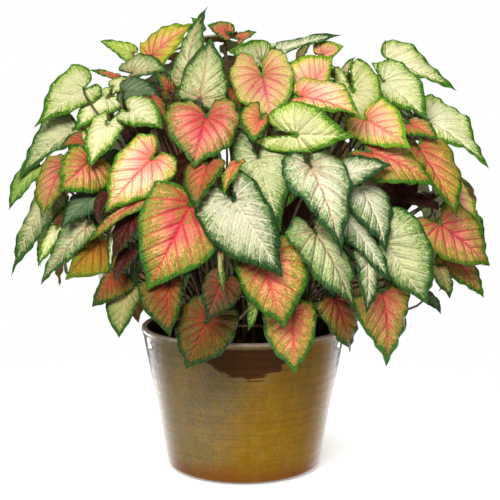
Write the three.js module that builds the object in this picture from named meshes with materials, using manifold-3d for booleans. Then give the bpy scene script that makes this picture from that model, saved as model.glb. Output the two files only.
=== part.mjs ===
// A caladium in a glazed pot: petioled, heart-shaped leaves of a white and a pink variety, growing in
// shoots from holes in the soil. Millimetres, +Z up, origin under the middle of the pot's foot.
import * as THREE from "three";
import { mergeVertices } from "three/addons/utils/BufferGeometryUtils.js";
import Module from "manifold-3d";

const wasm = await Module();
wasm.setup();

// ---------------------------------------------------------------- driving dimensions
const POT = {
  rimRadius: 150,
  footRadius: 103,
  bellyRadius: 113,
  bellyHeight: 9,
  height: 210,
  wall: 9,
  floor: 12,
  sides: 32,
};
// The pot's edges: where the wall rounds into the foot, the lip's shoulder as shares of its radius, and
// where the wall's inside rounds into the floor.
const FOOT_EDGE = { inset: 3, rise: 0.35 };
const LIP = { shoulder: 0.3, drop: 0.25 };
const FLOOR_EDGE = { inset: 6, rise: 3 };
const SOIL = { top: 188, crown: 6, gap: 0.3, plantedRadius: 104, flat: 0.8, lowInset: 8, lowRise: 6 };
const HOLE = { sheathRadius: 4.6, gap: 0.4, depth: 26, sheathTop: 12, sides: 5, over: 1 };
const BLADE = { thickness: 1.0, clearance: 1.5 };
// A petiole's cubic curve: its first control point is above its start by rise times its height and
// extraRise, and leans out by start; its second is reach times under behind the blade, and below it.
const PETIOLE = {
  footRadius: 2.7,
  neckRadius: 1.7,
  clearance: 0.7,
  sides: 3,
  steps: 4,
  reaches: [62, 34, 96],
  neck: 22,
  neckDrop: 0.4,
  inset: 3.5,
  leastRise: 62,
  rise: 0.55,
  extraRise: 22,
  start: 0.12,
  mostReach: 0.4,
  under: 0.8,
  below: 0.35,
};
const SHOOTS = 56;

// The front of the crown is laid out on an elevation sheet, SHEET.size units square, drawn in
// perspective from EYE, which looks along +Y and down by SHEET.tilt degrees.
const EYE = new THREE.Vector3(9, -1798, 553);
const SHEET = { size: 500, focal: 1250, tilt: 7.45 };

// The crown is an egg-shaped dome. Joints lie inside it and tips reach out to it, leaning towards EYE
// or away from it by no more than a share of the leaf's seen length.
const DOME = { centre: new THREE.Vector3(8, 0, 372), across: 338, deep: 300, up: 262, down: 330 };
const TUCK = { joint: 0.86, tip: 0.98, lean: 0.55 };

// A blade is wider across than it looks where it is turned about its midrib, up to mostTurn degrees, the
// way that the dome faces at turnAt of its length. A lobe is drawn as if at least leastShown of it showed.
const NATURAL = { white: 0.7, pink: 0.8, mostTurn: 42, turnAt: 0.4, leastShown: 0.5 };

// How a blade gets clear of the blades already there: it slides in steps, and its tip may rock.
const SLIDE = { step: 5, most: 60, mostBack: 8, moves: 5, rock: 12, rocks: [0, 1, -1, 2, -2] };

// Leaves whose joints are below this height belong to the crown's skirt.
const SKIRT = { height: 340, weight: 3 };

// How a petiole gets past what is in its way: it swerves sideways and up in its upper half, and
// sideways in its lower half, by a number of bends, and may leave the blade sooner or later. The weights
// say how big each of the four ways counts.
const BEND = {
  size: 16,
  sideways: 7,
  upward: 4,
  low: 4,
  most: 10,
  otherShoots: 3,
  weights: [1, 1.1, 1.3, 0.7],
};

// ---------------------------------------------------------------- one blade's form
// Half the outline from tip to sinus: [along, across], where 1 along is joint to tip, -1 along is the end
// of the basal lobe, and 1 across is half the width.
const OUTLINE = [
  [1, 0],
  [0.85, 0.22],
  [0.64, 0.62],
  [0.37, 0.92],
  [0.06, 1.0],
  [-0.55, 0.9],
  [-1.0, 0.48],
  [-0.7, 0.13],
];
// The same for a leaf with a long drip tip.
const DRIP_OUTLINE = [
  [1, 0],
  [0.78, 0.21],
  [0.56, 0.56],
  [0.34, 0.87],
  [0.08, 1.0],
  [-0.55, 0.9],
  [-1.0, 0.48],
  [-0.7, 0.13],
];
// The same for a small leaf.
const PLAIN_OUTLINE = [
  [1, 0],
  [0.58, 0.7],
  [0.14, 1.0],
  [-0.6, 0.86],
  [-0.9, 0.3],
];
const SMALL = 52; // a leaf with blade halves together narrower than this, in millimetres, is small
const MIDRIB = 0.45; // where the midrib has a point between joint and tip

// How each leaf's own form is drawn: the least of each measure, and how much it varies.
const QUIRKS = {
  bow: [0.04, 0.05],
  droop: [0.14, 0.2],
  wave: [0.016, 0.022],
  waves: [2, 1.2],
};
const TWIST = 0.4; // the most that a blade twists from one side to the other, both ways together
const FOLD = 0.18; // how far the halves rise from the midrib before they droop
const LOBE_BOW = 0.5; // how much of the bow carries on behind the joint
const SIDE_PHASE = 1.7; // how far the waves of one side run ahead of those of the other
const CALM = 4; // the waves reach full height a quarter of the way round from the tip
const LEAF_SEED = 1000;
const LEAF_SEED_STEP = 7919;

// ---------------------------------------------------------------- the leaves on the sheet
// [variety, joint, tip, half widths, basal lobes], from the outermost leaf to the innermost, in the sheet's
// units. Half widths and lobes are as seen, and come in pairs: with the leaf's tip pointing down, first
// the side to the left of the midrib, then the side to the right. DRIP marks a long drip tip.
const W = "white";
const P = "pink";
const DRIP = true;
const FRONT = [
  [W, [234, 199], [283, 277], [43, 28], [26, 26]],
  [W, [296, 135], [357, 137], [18, 33], [46, 30], DRIP],
  [W, [310, 166], [342, 257], [27, 33], [18, 16], DRIP],
  [W, [258, 157], [281, 233], [26, 35], [38, 12], DRIP],
  [P, [191, 204], [147, 291], [43, 45], [12, 14]],
  [P, [153, 158], [105, 213], [29, 27], [18, 15]],
  [P, [206, 116], [193, 168], [40, 34], [10, 24]],
  [W, [315, 232], [355, 311], [24, 20], [22, 12]],
  [P, [262, 262], [285, 329], [28, 43], [10, 20]],
  [W, [108, 124], [90, 168], [17, 16], [15, 22]],
  [W, [128, 111], [163, 129], [13, 22], [8, 12]],
  [P, [64, 165], [42, 219], [19, 16], [14, 5]],
  [W, [86, 88], [34, 128], [27, 15], [14, 13], DRIP],
  [P, [365, 119], [411, 149], [21, 27], [15, 6]],
  [W, [353, 91], [365, 128], [18, 28], [32, 32]],
  [W, [383, 81], [428, 120], [17, 26], [8, 20]],
  [W, [427, 120], [489, 169], [12, 27], [5, 20], DRIP],
  [P, [369, 152], [436, 187], [23, 20], [18, 8]],
  [W, [336, 180], [392, 165], [14, 18], [8, 8], DRIP],
  [W, [358, 184], [386, 253], [20, 20], [6, 10]],
  [W, [345, 217], [390, 282], [13, 14], [5, 5]],
  [W, [385, 243], [428, 305], [20, 40], [6, 28]],
  [P, [418, 148], [457, 218], [14, 27], [4, 10]],
  [P, [440, 224], [490, 266], [26, 30], [24, 6]],
  [P, [261, 118], [253, 143], [20, 8], [17, 8]],
  [P, [262, 75], [273, 124], [32, 31], [28, 24]],
  [P, [300, 97], [362, 117], [10, 24], [6, 15]],
  [W, [200, 100], [211, 37], [26, 23], [8, 3]],
  [P, [292, 312], [295, 374], [30, 24], [4, 12]],
  [P, [382, 291], [386, 367], [29, 24], [4, 4], DRIP],
  [P, [334, 297], [350, 352], [19, 20], [6, 6]],
  [P, [222, 282], [207, 321], [18, 23], [14, 12]],
  [P, [168, 283], [170, 337], [30, 14], [4, 6]],
  [P, [117, 275], [92, 307], [9, 20], [5, 8]],
  [P, [150, 196], [88, 243], [6, 8], [4, 4]],
  [W, [50, 192], [11, 277], [14, 17], [8, 8], DRIP],
  [W, [387, 60], [457, 91], [10, 21], [4, 10], DRIP],
  [W, [88, 225], [41, 285], [17, 11], [6, 8], DRIP],
  [P, [89, 162], [58, 192], [23, 30], [6, 16]],
  [W, [75, 129], [17, 181], [24, 9], [8, 3], DRIP],
  [W, [86, 132], [98, 168], [5, 6], [4, 4]],
  [W, [108, 98], [76, 130], [15, 14], [14, 10]],
  [P, [207, 321], [186, 369], [28, 31], [22, 28]],
  [W, [40, 165], [9, 210], [14, 8], [6, 4]],
  [W, [122, 92], [161, 96], [10, 16], [4, 6]],
  [W, [131, 74], [168, 71], [5, 19], [4, 17]],
  [P, [170, 92], [157, 73], [8, 9], [3, 3]],
  [P, [151, 57], [197, 23], [15, 17], [4, 8]],
  [W, [186, 82], [208, 6], [17, 16], [5, 5], DRIP],
  [P, [312, 85], [333, 56], [12, 30], [8, 12]],
  [P, [321, 56], [344, 46], [7, 14], [3, 6]],
  [W, [262, 61], [228, 51], [20, 8], [10, 4]],
  [P, [448, 252], [484, 298], [15, 15], [6, 4]],
  [W, [366, 252], [366, 314], [11, 12], [8, 8]],
  [P, [445, 186], [474, 238], [10, 17], [4, 4]],
  [W, [128, 288], [119, 338], [21, 13], [4, 4]],
  [W, [97, 195], [61, 229], [15, 11], [6, 6]],
  [P, [101, 240], [65, 280], [12, 30], [4, 12]],
  [P, [208, 164], [196, 210], [20, 16], [6, 6]],
  [W, [221, 252], [226, 298], [4, 4], [3, 3]],
  [P, [238, 162], [224, 197], [9, 6], [4, 4]],
  [P, [297, 172], [286, 207], [5, 7], [3, 3]],
  [P, [230, 87], [242, 113], [8, 8], [4, 4]],
  [W, [172, 72], [184, 100], [4, 5], [3, 3]],
  [W, [280, 51], [342, 35], [5, 8], [4, 6]],
  [W, [134, 54], [100, 41], [8, 9], [3, 4]],
  [W, [112, 87], [138, 79], [7, 8], [4, 4]],
  [P, [120, 78], [88, 70], [4, 4], [3, 3]],
  [P, [228, 34], [207, 25], [11, 7], [6, 4]],
  [P, [238, 40], [257, 32], [4, 6], [3, 3]],
  [W, [203, 31], [191, 17], [5, 6], [2, 2]],
  [W, [299, 60], [312, 42], [6, 6], [3, 3]],
  [W, [344, 74], [355, 57], [5, 5], [3, 3]],
  [W, [378, 75], [400, 100], [9, 12], [8, 16]],
  [P, [408, 124], [438, 140], [10, 12], [4, 4]],
  [P, [150, 97], [168, 125], [9, 8], [4, 4]],
  [P, [86, 138], [60, 148], [9, 8], [3, 3]],
  [P, [106, 192], [98, 224], [8, 7], [3, 3]],
  [W, [58, 228], [38, 267], [8, 9], [4, 4]],
  [P, [140, 206], [112, 262], [14, 12], [4, 4]],
  [W, [117, 226], [110, 274], [6, 6], [3, 3]],
  [P, [130, 250], [115, 282], [9, 8], [3, 3]],
  [W, [134, 244], [137, 296], [6, 6], [3, 3]],
  [W, [197, 244], [184, 296], [4, 3], [2, 2]],
  [W, [256, 296], [248, 331], [8, 6], [2, 2]],
  [W, [438, 267], [450, 299], [11, 8], [2, 2]],
  [P, [434, 200], [402, 202], [9, 10], [4, 4]],
  [W, [397, 308], [405, 331], [5, 5], [2, 2]],
  [W, [452, 200], [485, 244], [12, 15], [4, 4]],
  [W, [424, 294], [441, 314], [7, 7], [3, 3]],
];

// Leaves in the heart of the crown, read the same way. They begin a share of the way in from the dome's
// near side to its middle.
const CORE = [
  [0.85, P, [180, 244], [184, 312], [28, 28], [10, 10]],
  [0.85, W, [232, 240], [230, 312], [28, 28], [10, 10]],
  [0.85, P, [284, 244], [286, 314], [28, 28], [10, 10]],
  [0.85, W, [336, 240], [334, 308], [26, 26], [10, 10]],
  [0.7, W, [134, 218], [132, 286], [24, 24], [10, 10]],
  [0.7, P, [385, 216], [388, 286], [24, 24], [10, 10]],
  [0.6, P, [394, 168], [400, 226], [24, 24], [10, 10]],
  [0.6, W, [342, 170], [344, 236], [24, 24], [10, 10]],
  [0.6, P, [292, 180], [290, 244], [22, 22], [10, 10]],
  [0.6, P, [196, 158], [198, 220], [22, 22], [10, 10]],
  [0.6, W, [100, 160], [96, 228], [24, 24], [10, 10]],
  [0.5, P, [146, 98], [138, 160], [24, 24], [8, 8]],
];

// ---------------------------------------------------------------- the leaves round the back
// Rows of leaves round the dome's far side: how far down from the top in degrees, how many, and the arc
// they share, in degrees either side of straight back.
const BACK_ROWS = [
  { down: 106, count: 5, arc: 55 },
  { down: 88, count: 6, arc: 78 },
  { down: 68, count: 7, arc: 80 },
  { down: 50, count: 6, arc: 76 },
  { down: 30, count: 5, arc: 100 },
  { down: 8, count: 1, arc: 90 },
];
const STRAIGHT_BACK = 90;
const BACK = {
  length: 112,
  lengths: [0.85, 0.35],
  spread: 14,
  scale: 0.92,
  half: 0.42,
  lobe: 0.34,
  jitter: 9,
  sway: 0.8,
  stepDown: 0.3,
  seed: 41,
};

// ---------------------------------------------------------------- small helpers
const UP = new THREE.Vector3(0, 0, 1);
const radians = THREE.MathUtils.degToRad;
const vector = (x, y, z) => new THREE.Vector3(x, y, z);
const ODD_WAY = vector(0.31, 0.83, 0.46); // a direction that no petiole runs along
const WELD = 1e-4; // points closer together than this are one point

// Seeded random numbers from 0 to 1, by a linear congruential generator.
const CHANCE = { times: 1664525, plus: 1013904223, modulus: 2 ** 32 };
function randomFrom(seed) {
  let state = seed;
  return () => {
    state = (state * CHANCE.times + CHANCE.plus) % CHANCE.modulus;
    return state / CHANCE.modulus;
  };
}

// A three.js geometry as a manifold solid.
function solidOf(geometry) {
  const bare = geometry.index ? geometry.toNonIndexed() : geometry.clone();
  bare.deleteAttribute("normal");
  bare.deleteAttribute("uv");
  const merged = mergeVertices(bare, WELD);
  return new wasm.Manifold(
    new wasm.Mesh({
      numProp: 3,
      vertProperties: merged.attributes.position.array,
      triVerts: new Uint32Array(merged.index.array),
    }),
  );
}

// A manifold solid as a three.js geometry.
function geometryOf(solid) {
  const made = solid.getMesh();
  const points = new Float32Array(made.numVert * 3);
  for (let i = 0; i < made.numVert; i++) {
    points.set(made.vertProperties.subarray(i * made.numProp, i * made.numProp + 3), i * 3);
  }
  const geometry = new THREE.BufferGeometry();
  geometry.setAttribute("position", new THREE.BufferAttribute(points, 3));
  geometry.setIndex(new THREE.BufferAttribute(made.triVerts, 1));
  geometry.computeVertexNormals();
  return geometry;
}

// A solid from a list of points and a list of triangles.
function solidFrom(points, triangles) {
  const geometry = new THREE.BufferGeometry();
  const flat = points.flatMap((p) => [p.x, p.y, p.z]);
  geometry.setAttribute("position", new THREE.Float32BufferAttribute(flat, 3));
  geometry.setIndex(triangles.flat());
  return solidOf(geometry);
}

// ---------------------------------------------------------------- where a leaf is
const AHEAD = vector(0, Math.cos(radians(SHEET.tilt)), -Math.sin(radians(SHEET.tilt)));
const ABOVE = vector(0, Math.sin(radians(SHEET.tilt)), Math.cos(radians(SHEET.tilt)));

// The direction from EYE through a point of the sheet.
function sightThrough([across, down]) {
  return AHEAD.clone()
    .multiplyScalar(SHEET.focal)
    .add(vector(across - SHEET.size / 2, 0, 0))
    .addScaledVector(ABOVE, SHEET.size / 2 - down)
    .normalize();
}

// Where a sight line meets the dome scaled by a share, or passes nearest to it: a share inward of the
// way from there to the line's middle.
function onDome(sight, share, inward) {
  let height = DOME.up;
  let point;
  for (let pass = 0; pass < 2; pass++) {
    const size = vector(DOME.across, DOME.deep, height).multiplyScalar(share);
    const o = EYE.clone().sub(DOME.centre).divide(size);
    const d = sight.clone().divide(size);
    const nearest = -o.dot(d) / d.dot(d);
    const under = nearest * nearest - (o.dot(o) - 1) / d.dot(d);
    point = EYE.clone().addScaledVector(sight, nearest - (1 - inward) * Math.sqrt(Math.max(0, under)));
    height = point.z < DOME.centre.z ? DOME.down : DOME.up;
  }
  return point;
}

// The dome's outward direction at a point.
function domeNormal(point) {
  const from = point.clone().sub(DOME.centre);
  const height = from.z < 0 ? DOME.down : DOME.up;
  return from.divide(vector(DOME.across ** 2, DOME.deep ** 2, height ** 2)).normalize();
}

// What differs from leaf to leaf: bow along the midrib, droop across it, the margin's waves and twist.
function quirks(random) {
  const drawn = ([least, varies]) => least + varies * random();
  return {
    bow: drawn(QUIRKS.bow),
    droop: drawn(QUIRKS.droop),
    wave: drawn(QUIRKS.wave),
    waves: drawn(QUIRKS.waves),
    phase: 2 * Math.PI * random(),
    twist: TWIST * (random() - 0.5),
  };
}

// A leaf read from the sheet. Its joint and its tip slide away from EYE, each along its sight line.
function sheetLeaf([variety, joint, tip, seenHalves, seenLobes, drips], index, inward) {
  const jointSight = sightThrough(joint);
  const tipSight = sightThrough(tip);
  const jointFar = EYE.distanceTo(onDome(jointSight, TUCK.joint, inward));
  const seenLength = (Math.hypot(tip[0] - joint[0], tip[1] - joint[1]) * jointFar) / SHEET.focal;
  const lean = TUCK.lean * seenLength;
  const tipFar = EYE.distanceTo(onDome(tipSight, TUCK.tip, inward));
  return {
    variety,
    joint: EYE.clone().addScaledVector(jointSight, jointFar),
    tip: EYE.clone().addScaledVector(
      tipSight,
      THREE.MathUtils.clamp(tipFar, jointFar - lean, jointFar + lean),
    ),
    jointSlide: jointSight,
    tipSlide: tipSight,
    mostSlides: SLIDE.most,
    seenHalves,
    seenLobes,
    drips,
    ...quirks(randomFrom(LEAF_SEED + index * LEAF_SEED_STEP)),
  };
}

// The rows of leaves round the back. They slide straight out from the pot's axis.
function backLeaves() {
  const random = randomFrom(BACK.seed);
  const leaves = [];
  BACK_ROWS.forEach((row, level) => {
    for (let i = 0; i < row.count; i++) {
      const share = (2 * (i + 0.5)) / row.count - 1;
      const bearing = radians(STRAIGHT_BACK + row.arc * share + BACK.jitter * (random() - 0.5));
      const down = radians(row.down + BACK.jitter * (random() - 0.5));
      const out = vector(Math.cos(bearing), Math.sin(bearing), 0);
      const at = (angle) => {
        const height = Math.cos(angle) < 0 ? DOME.down : DOME.up;
        const flat = vector(out.x * DOME.across, out.y * DOME.deep, 0);
        return flat
          .multiplyScalar(Math.sin(angle) * BACK.scale)
          .add(vector(0, 0, Math.cos(angle) * height * BACK.scale))
          .add(DOME.centre);
      };
      const joint = at(down);
      const length = BACK.length * (BACK.lengths[0] + BACK.lengths[1] * random());
      const side = vector(-out.y, out.x, 0).multiplyScalar(BACK.sway * (random() - 0.5));
      const along = at(down + BACK.stepDown).sub(joint).normalize().add(side).normalize();
      leaves.push({
        variety: (i + level) % 2 ? W : P,
        tip: joint.clone().addScaledVector(along, length).addScaledVector(out, BACK.spread),
        joint: joint.addScaledVector(out, -BACK.spread),
        jointSlide: out,
        tipSlide: out,
        mostSlides: SLIDE.mostBack,
        halves: [BACK.half * length, BACK.half * length],
        lobes: [BACK.lobe * length, BACK.lobe * length],
        ...quirks(random),
      });
    }
  });
  return leaves;
}

// ---------------------------------------------------------------- the solids of a leaf
// A blade's frame after a number of slides, with its tip rocked: joint, length, three axes and sizes.
function poseOf(leaf, slides, rock) {
  const joint = leaf.joint.clone().addScaledVector(leaf.jointSlide, slides * SLIDE.step);
  const tip = leaf.tip.clone().addScaledVector(leaf.tipSlide, slides * SLIDE.step + rock * SLIDE.rock);
  const along = tip.clone().sub(joint);
  const length = along.length();
  along.normalize();
  const front = leaf.seenHalves ? leaf.jointSlide.clone().negate() : domeNormal(joint);
  const slant = front.dot(along);
  const face = front.addScaledVector(along, -slant).normalize();
  const across = face.clone().cross(along);
  const pose = { joint, tip, length, along, across, face, halves: leaf.halves, lobes: leaf.lobes };
  if (leaf.seenHalves) {
    const unit = joint.clone().sub(EYE).dot(AHEAD) / SHEET.focal;
    const seen = (leaf.seenHalves[0] + leaf.seenHalves[1]) * unit;
    const ratio = Math.min(1, seen / (NATURAL[leaf.variety] * length));
    const turn = Math.min(Math.acos(ratio), radians(NATURAL.mostTurn));
    const outward = domeNormal(joint.clone().lerp(tip, NATURAL.turnAt));
    const roll = turn * Math.sign(outward.dot(across) || 1);
    const shown = Math.max(NATURAL.leastShown, Math.sqrt(1 - slant * slant));
    pose.across = across.clone().multiplyScalar(Math.cos(roll)).addScaledVector(face, -Math.sin(roll));
    pose.face = face.clone().multiplyScalar(Math.cos(roll)).addScaledVector(across, Math.sin(roll));
    pose.halves = leaf.seenHalves.map((half) => (half * unit) / Math.cos(roll));
    pose.lobes = leaf.seenLobes.map((lobe) => (lobe * unit) / shown);
  }
  return pose;
}

// A point of a blade in its own directions: along, then across to one side, with the margin's wave at a
// place on the outline that counts from 0 at the tip to 1 at the sinus.
function bladePoint(leaf, pose, along, across, side, place, share) {
  const right = side > 0 ? 1 : 0;
  const reach = share * along * (along < 0 ? pose.lobes[right] : pose.length);
  const t = share * across * side;
  const s = reach / pose.length;
  const half = 0.5 * (pose.halves[0] + pose.halves[1]);
  const bow = 4 * leaf.bow * (s < 0 ? LOBE_BOW * s : s * (1 - s)) * pose.length;
  const droop = half * (FOLD * Math.abs(t) - leaf.droop * t * t + leaf.twist * t * s);
  const swing = Math.sin(2 * Math.PI * leaf.waves * place + leaf.phase + SIDE_PHASE * side);
  const wave = leaf.wave * pose.length * share * share * Math.min(1, CALM * place) * swing;
  return pose.joint
    .clone()
    .addScaledVector(pose.along, reach)
    .addScaledVector(pose.across, t * pose.halves[right])
    .addScaledVector(pose.face, bow + droop + wave);
}

// The outline that a blade follows.
function outlineOf(leaf, pose) {
  if (pose.halves[0] + pose.halves[1] < SMALL) return PLAIN_OUTLINE;
  return leaf.drips ? DRIP_OUTLINE : OUTLINE;
}

// The points of a blade's middle surface: joint, a point on the midrib, and the outline round from one
// side of the sinus to the other.
function bladePoints(leaf, pose) {
  const outline = outlineOf(leaf, pose);
  const last = outline.length - 1;
  const edge = (i, side) => bladePoint(leaf, pose, ...outline[i], side, i / last, 1);
  const points = [pose.joint.clone(), bladePoint(leaf, pose, MIDRIB, 0, 1, 0, 1)];
  for (let i = last; i > 0; i--) points.push(edge(i, -1));
  for (let i = 0; i <= last; i++) points.push(edge(i, 1));
  return points;
}

// A blade as one closed, faceted solid, alike on both faces.
function bladeSolid(leaf, pose, thickness) {
  const middle = bladePoints(leaf, pose);
  const count = middle.length;
  const lifted = (lift) => middle.map((p) => p.clone().addScaledVector(pose.face, lift));
  const triangles = [];
  const both = (a, b, c) => triangles.push([a, b, c], [c + count, b + count, a + count]);
  const wall = (a, b) => triangles.push([a, a + count, b], [b, a + count, b + count]);
  const outline = outlineOf(leaf, pose);
  const last = outline.length - 1;
  const waist = outline.findIndex(([, across]) => across === 1);
  const leftWaist = 2 + last - waist;
  const rightWaist = 2 + last + waist;
  for (let i = 2; i + 1 < count; i++) {
    const hub = i >= leftWaist && i < rightWaist ? 1 : 0;
    both(hub, i, i + 1);
    wall(i, i + 1);
  }
  both(0, leftWaist, 1);
  both(1, rightWaist, 0);
  wall(0, 2);
  wall(count - 1, 0);
  return solidFrom([...lifted(thickness / 2), ...lifted(-thickness / 2)], triangles);
}

// Where a petiole ends: inside the blade, a little beyond the joint, so that the sinus stays open.
function petioleEnd(leaf, pose) {
  const midrib = bladePoint(leaf, pose, MIDRIB, 0, 1, 0, 1);
  return pose.joint.clone().lerp(midrib, PETIOLE.inset / pose.joint.distanceTo(midrib));
}

// The petiole's line: up out of the soil, then over and into the blade's underside.
function petioleLine(leaf, base, [sideways, upward, low, reaching]) {
  const { pose } = leaf;
  const end = petioleEnd(leaf, pose);
  const start = vector(base.x, base.y, SOIL.top);
  const span = end.clone().sub(start);
  const side = vector(-span.y, span.x, 0).normalize();
  const rise = Math.max(PETIOLE.leastRise, PETIOLE.rise * span.z + PETIOLE.extraRise);
  const reach = Math.min(PETIOLE.reaches[reaching], PETIOLE.mostReach * span.length());
  const first = start
    .clone()
    .add(vector(PETIOLE.start * span.x, PETIOLE.start * span.y, rise))
    .addScaledVector(side, low * BEND.size);
  const second = end
    .clone()
    .addScaledVector(pose.face, -PETIOLE.under * reach)
    .addScaledVector(UP, upward * BEND.size - PETIOLE.below * reach)
    .addScaledVector(side, sideways * BEND.size);
  return new THREE.CubicBezierCurve3(start, first, second, end);
}

// A petiole as a tapering rod, thicker by extra all round.
function petioleSolid(line, extra) {
  const points = [];
  const triangles = [];
  const n = PETIOLE.sides;
  for (let i = 0; i <= PETIOLE.steps; i++) {
    const share = i / PETIOLE.steps;
    const centre = line.getPoint(share);
    const ahead = line.getTangent(share);
    const right = ahead.clone().cross(ODD_WAY).normalize();
    const above = right.clone().cross(ahead);
    const radius = THREE.MathUtils.lerp(PETIOLE.footRadius, PETIOLE.neckRadius, share) + extra;
    for (let k = 0; k < n; k++) {
      const turn = (2 * Math.PI * k) / n;
      const ring = right.clone().multiplyScalar(Math.cos(turn)).addScaledVector(above, -Math.sin(turn));
      points.push(centre.clone().addScaledVector(ring, radius));
    }
  }
  for (let k = 0; k < n; k++) {
    const next = (k + 1) % n;
    for (let i = 0; i < PETIOLE.steps; i++) {
      const a = i * n + k;
      const b = i * n + next;
      triangles.push([a, b, a + n], [b, b + n, a + n]);
    }
  }
  const top = PETIOLE.steps * n;
  for (let k = 1; k + 1 < n; k++) {
    triangles.push([0, k + 1, k], [top, top + k, top + k + 1]);
  }
  return solidFrom(points, triangles);
}

// ---------------------------------------------------------------- shoots: leaves that share a hole
// Each leaf joins the nearest free leaves of its own variety, so that a shoot's leaves stand together.
function gatherShoots(leaves) {
  const each = Math.floor(leaves.length / SHOOTS);
  let extra = leaves.length - each * SHOOTS;
  const free = new Set(leaves);
  const shoots = [];
  for (const leaf of leaves) {
    if (!free.has(leaf)) continue;
    free.delete(leaf);
    const wanted = each + (extra > 0 ? 1 : 0);
    const near = [...free]
      .filter((other) => other.variety === leaf.variety)
      .sort((a, b) => a.joint.distanceTo(leaf.joint) - b.joint.distanceTo(leaf.joint))
      .slice(0, wanted - 1);
    near.forEach((other) => free.delete(other));
    if (near.length + 1 > each) extra -= 1;
    shoots.push({ variety: leaf.variety, leaves: [leaf, ...near] });
  }
  return shoots;
}

// The holes lie on a sunflower spiral, and each shoot takes the free one that suits its leaves best:
// shoots for the top of the crown stand in the middle, and those for its skirt stand near the rim.
function plantShoots(shoots) {
  const turn = Math.PI * (3 - Math.sqrt(5));
  const holes = shoots.map((_, i) => {
    const radius = SOIL.plantedRadius * Math.sqrt((i + 0.5) / shoots.length);
    return vector(radius * Math.cos(i * turn), radius * Math.sin(i * turn), 0);
  });
  const heart = vector(0, 0, SOIL.top);
  const wishes = shoots.map((shoot) => {
    const mean = shoot.leaves
      .reduce((sum, leaf) => sum.add(leaf.pose.joint), vector(0, 0, 0))
      .divideScalar(shoot.leaves.length)
      .sub(heart);
    const down = Math.atan2(Math.hypot(mean.x, mean.y), mean.z);
    return { shoot, down, bearing: Math.atan2(mean.y, mean.x) };
  });
  wishes.sort((a, b) => a.down - b.down);
  const free = new Set(holes);
  wishes.forEach((wish, rank) => {
    const radius = SOIL.plantedRadius * Math.sqrt((rank + 0.5) / shoots.length);
    const ideal = vector(radius * Math.cos(wish.bearing), radius * Math.sin(wish.bearing), 0);
    const best = [...free].sort((a, b) => a.distanceTo(ideal) - b.distanceTo(ideal))[0];
    free.delete(best);
    wish.shoot.hole = best;
  });
}

// ---------------------------------------------------------------- finding room
const apart = (a, b) => [0, 1, 2].some((i) => a.max[i] < b.min[i] || b.max[i] < a.min[i]);
let placed = []; // every solid in place, a little thicker than it is, with its box, leaf and shoot

function place(solid, owner) {
  placed.push({ solid, box: solid.boundingBox(), ...owner });
}

// Whether a solid meets one of those in place, other than those that the test passes over.
function meets(solid, passesOver) {
  const box = solid.boundingBox();
  return placed.some(
    (other) => !passesOver(other) && !apart(box, other.box) && !solid.intersect(other.solid).isEmpty(),
  );
}

// The room that a petiole needs where it comes up to its blade.
function neckSolid(leaf, pose) {
  const top = petioleEnd(leaf, pose);
  const foot = top
    .clone()
    .addScaledVector(pose.face, -PETIOLE.neck)
    .addScaledVector(UP, -PETIOLE.neckDrop * PETIOLE.neck);
  return petioleSolid(new THREE.LineCurve3(foot, top), PETIOLE.clearance);
}

// Slides a leaf's blade, from a given try on, until it is clear of everything in place.
function settleBlade(leaf, first) {
  const rocks = SLIDE.rocks.length;
  for (let tries = first; tries < (leaf.mostSlides + 1) * rocks; tries++) {
    const slides = Math.floor(tries / rocks);
    const rock = SLIDE.rocks[tries % rocks];
    const pose = poseOf(leaf, slides, rock);
    const solid = bladeSolid(leaf, pose, BLADE.thickness + 2 * BLADE.clearance);
    const neck = neckSolid(leaf, pose);
    if (meets(solid, () => false) || meets(neck, () => false)) continue;
    Object.assign(leaf, { pose, tries, slides, rock });
    place(solid, { leaf });
    place(neck, { leaf });
    return true;
  }
  return false;
}

// The bends that a petiole tries, from the slightest on.
function bendsInOrder() {
  const bends = [];
  for (let s = -BEND.sideways; s <= BEND.sideways; s++) {
    for (let u = -BEND.upward; u <= BEND.upward; u++) {
      for (let l = -BEND.low; l <= BEND.low; l++) {
        for (let r = 0; r < PETIOLE.reaches.length; r++) bends.push([s, u, l, r]);
      }
    }
  }
  const size = (bend) => bend.reduce((sum, amount, way) => sum + BEND.weights[way] * Math.abs(amount), 0);
  return bends.filter((bend) => size(bend) <= BEND.most).sort((a, b) => size(a) - size(b));
}
const BENDS = bendsInOrder();

// How hard a leaf's petiole is to lead: the crown's skirt and its top are settled before its middle.
function hardness(leaf) {
  const above = leaf.pose.joint.z - SKIRT.height;
  return above > 0 ? above : -SKIRT.weight * above;
}

// The shoots that a leaf may grow from: its own, then the others of its variety, nearest first.
function shootsFor(leaf, shoots) {
  const flat = leaf.pose.joint.clone().setZ(0);
  const others = shoots
    .filter((shoot) => shoot !== leaf.shoot && shoot.variety === leaf.variety)
    .sort((a, b) => a.hole.distanceTo(flat) - b.hole.distanceTo(flat));
  return [leaf.shoot, ...others.slice(0, BEND.otherShoots)];
}

// Bends a leaf's petiole until it is clear of every blade but its own, and of the other shoots' petioles.
// Where no bend is clear, the petiole grows from another shoot, or the blade moves on to its next place.
function settlePetiole(leaf, shoots) {
  for (let moves = 0; moves <= SLIDE.moves; moves++) {
    for (const shoot of shootsFor(leaf, shoots)) {
      for (const bend of BENDS) {
        const line = petioleLine(leaf, shoot.hole, bend);
        const solid = petioleSolid(line, PETIOLE.clearance);
        if (meets(solid, (other) => other.leaf === leaf || other.shoot === shoot)) continue;
        Object.assign(leaf, { line, bend, shoot });
        place(solid, { shoot });
        return;
      }
    }
    placed = placed.filter((other) => other.leaf !== leaf);
    if (!settleBlade(leaf, leaf.tries + 1)) return;
  }
}

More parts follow.
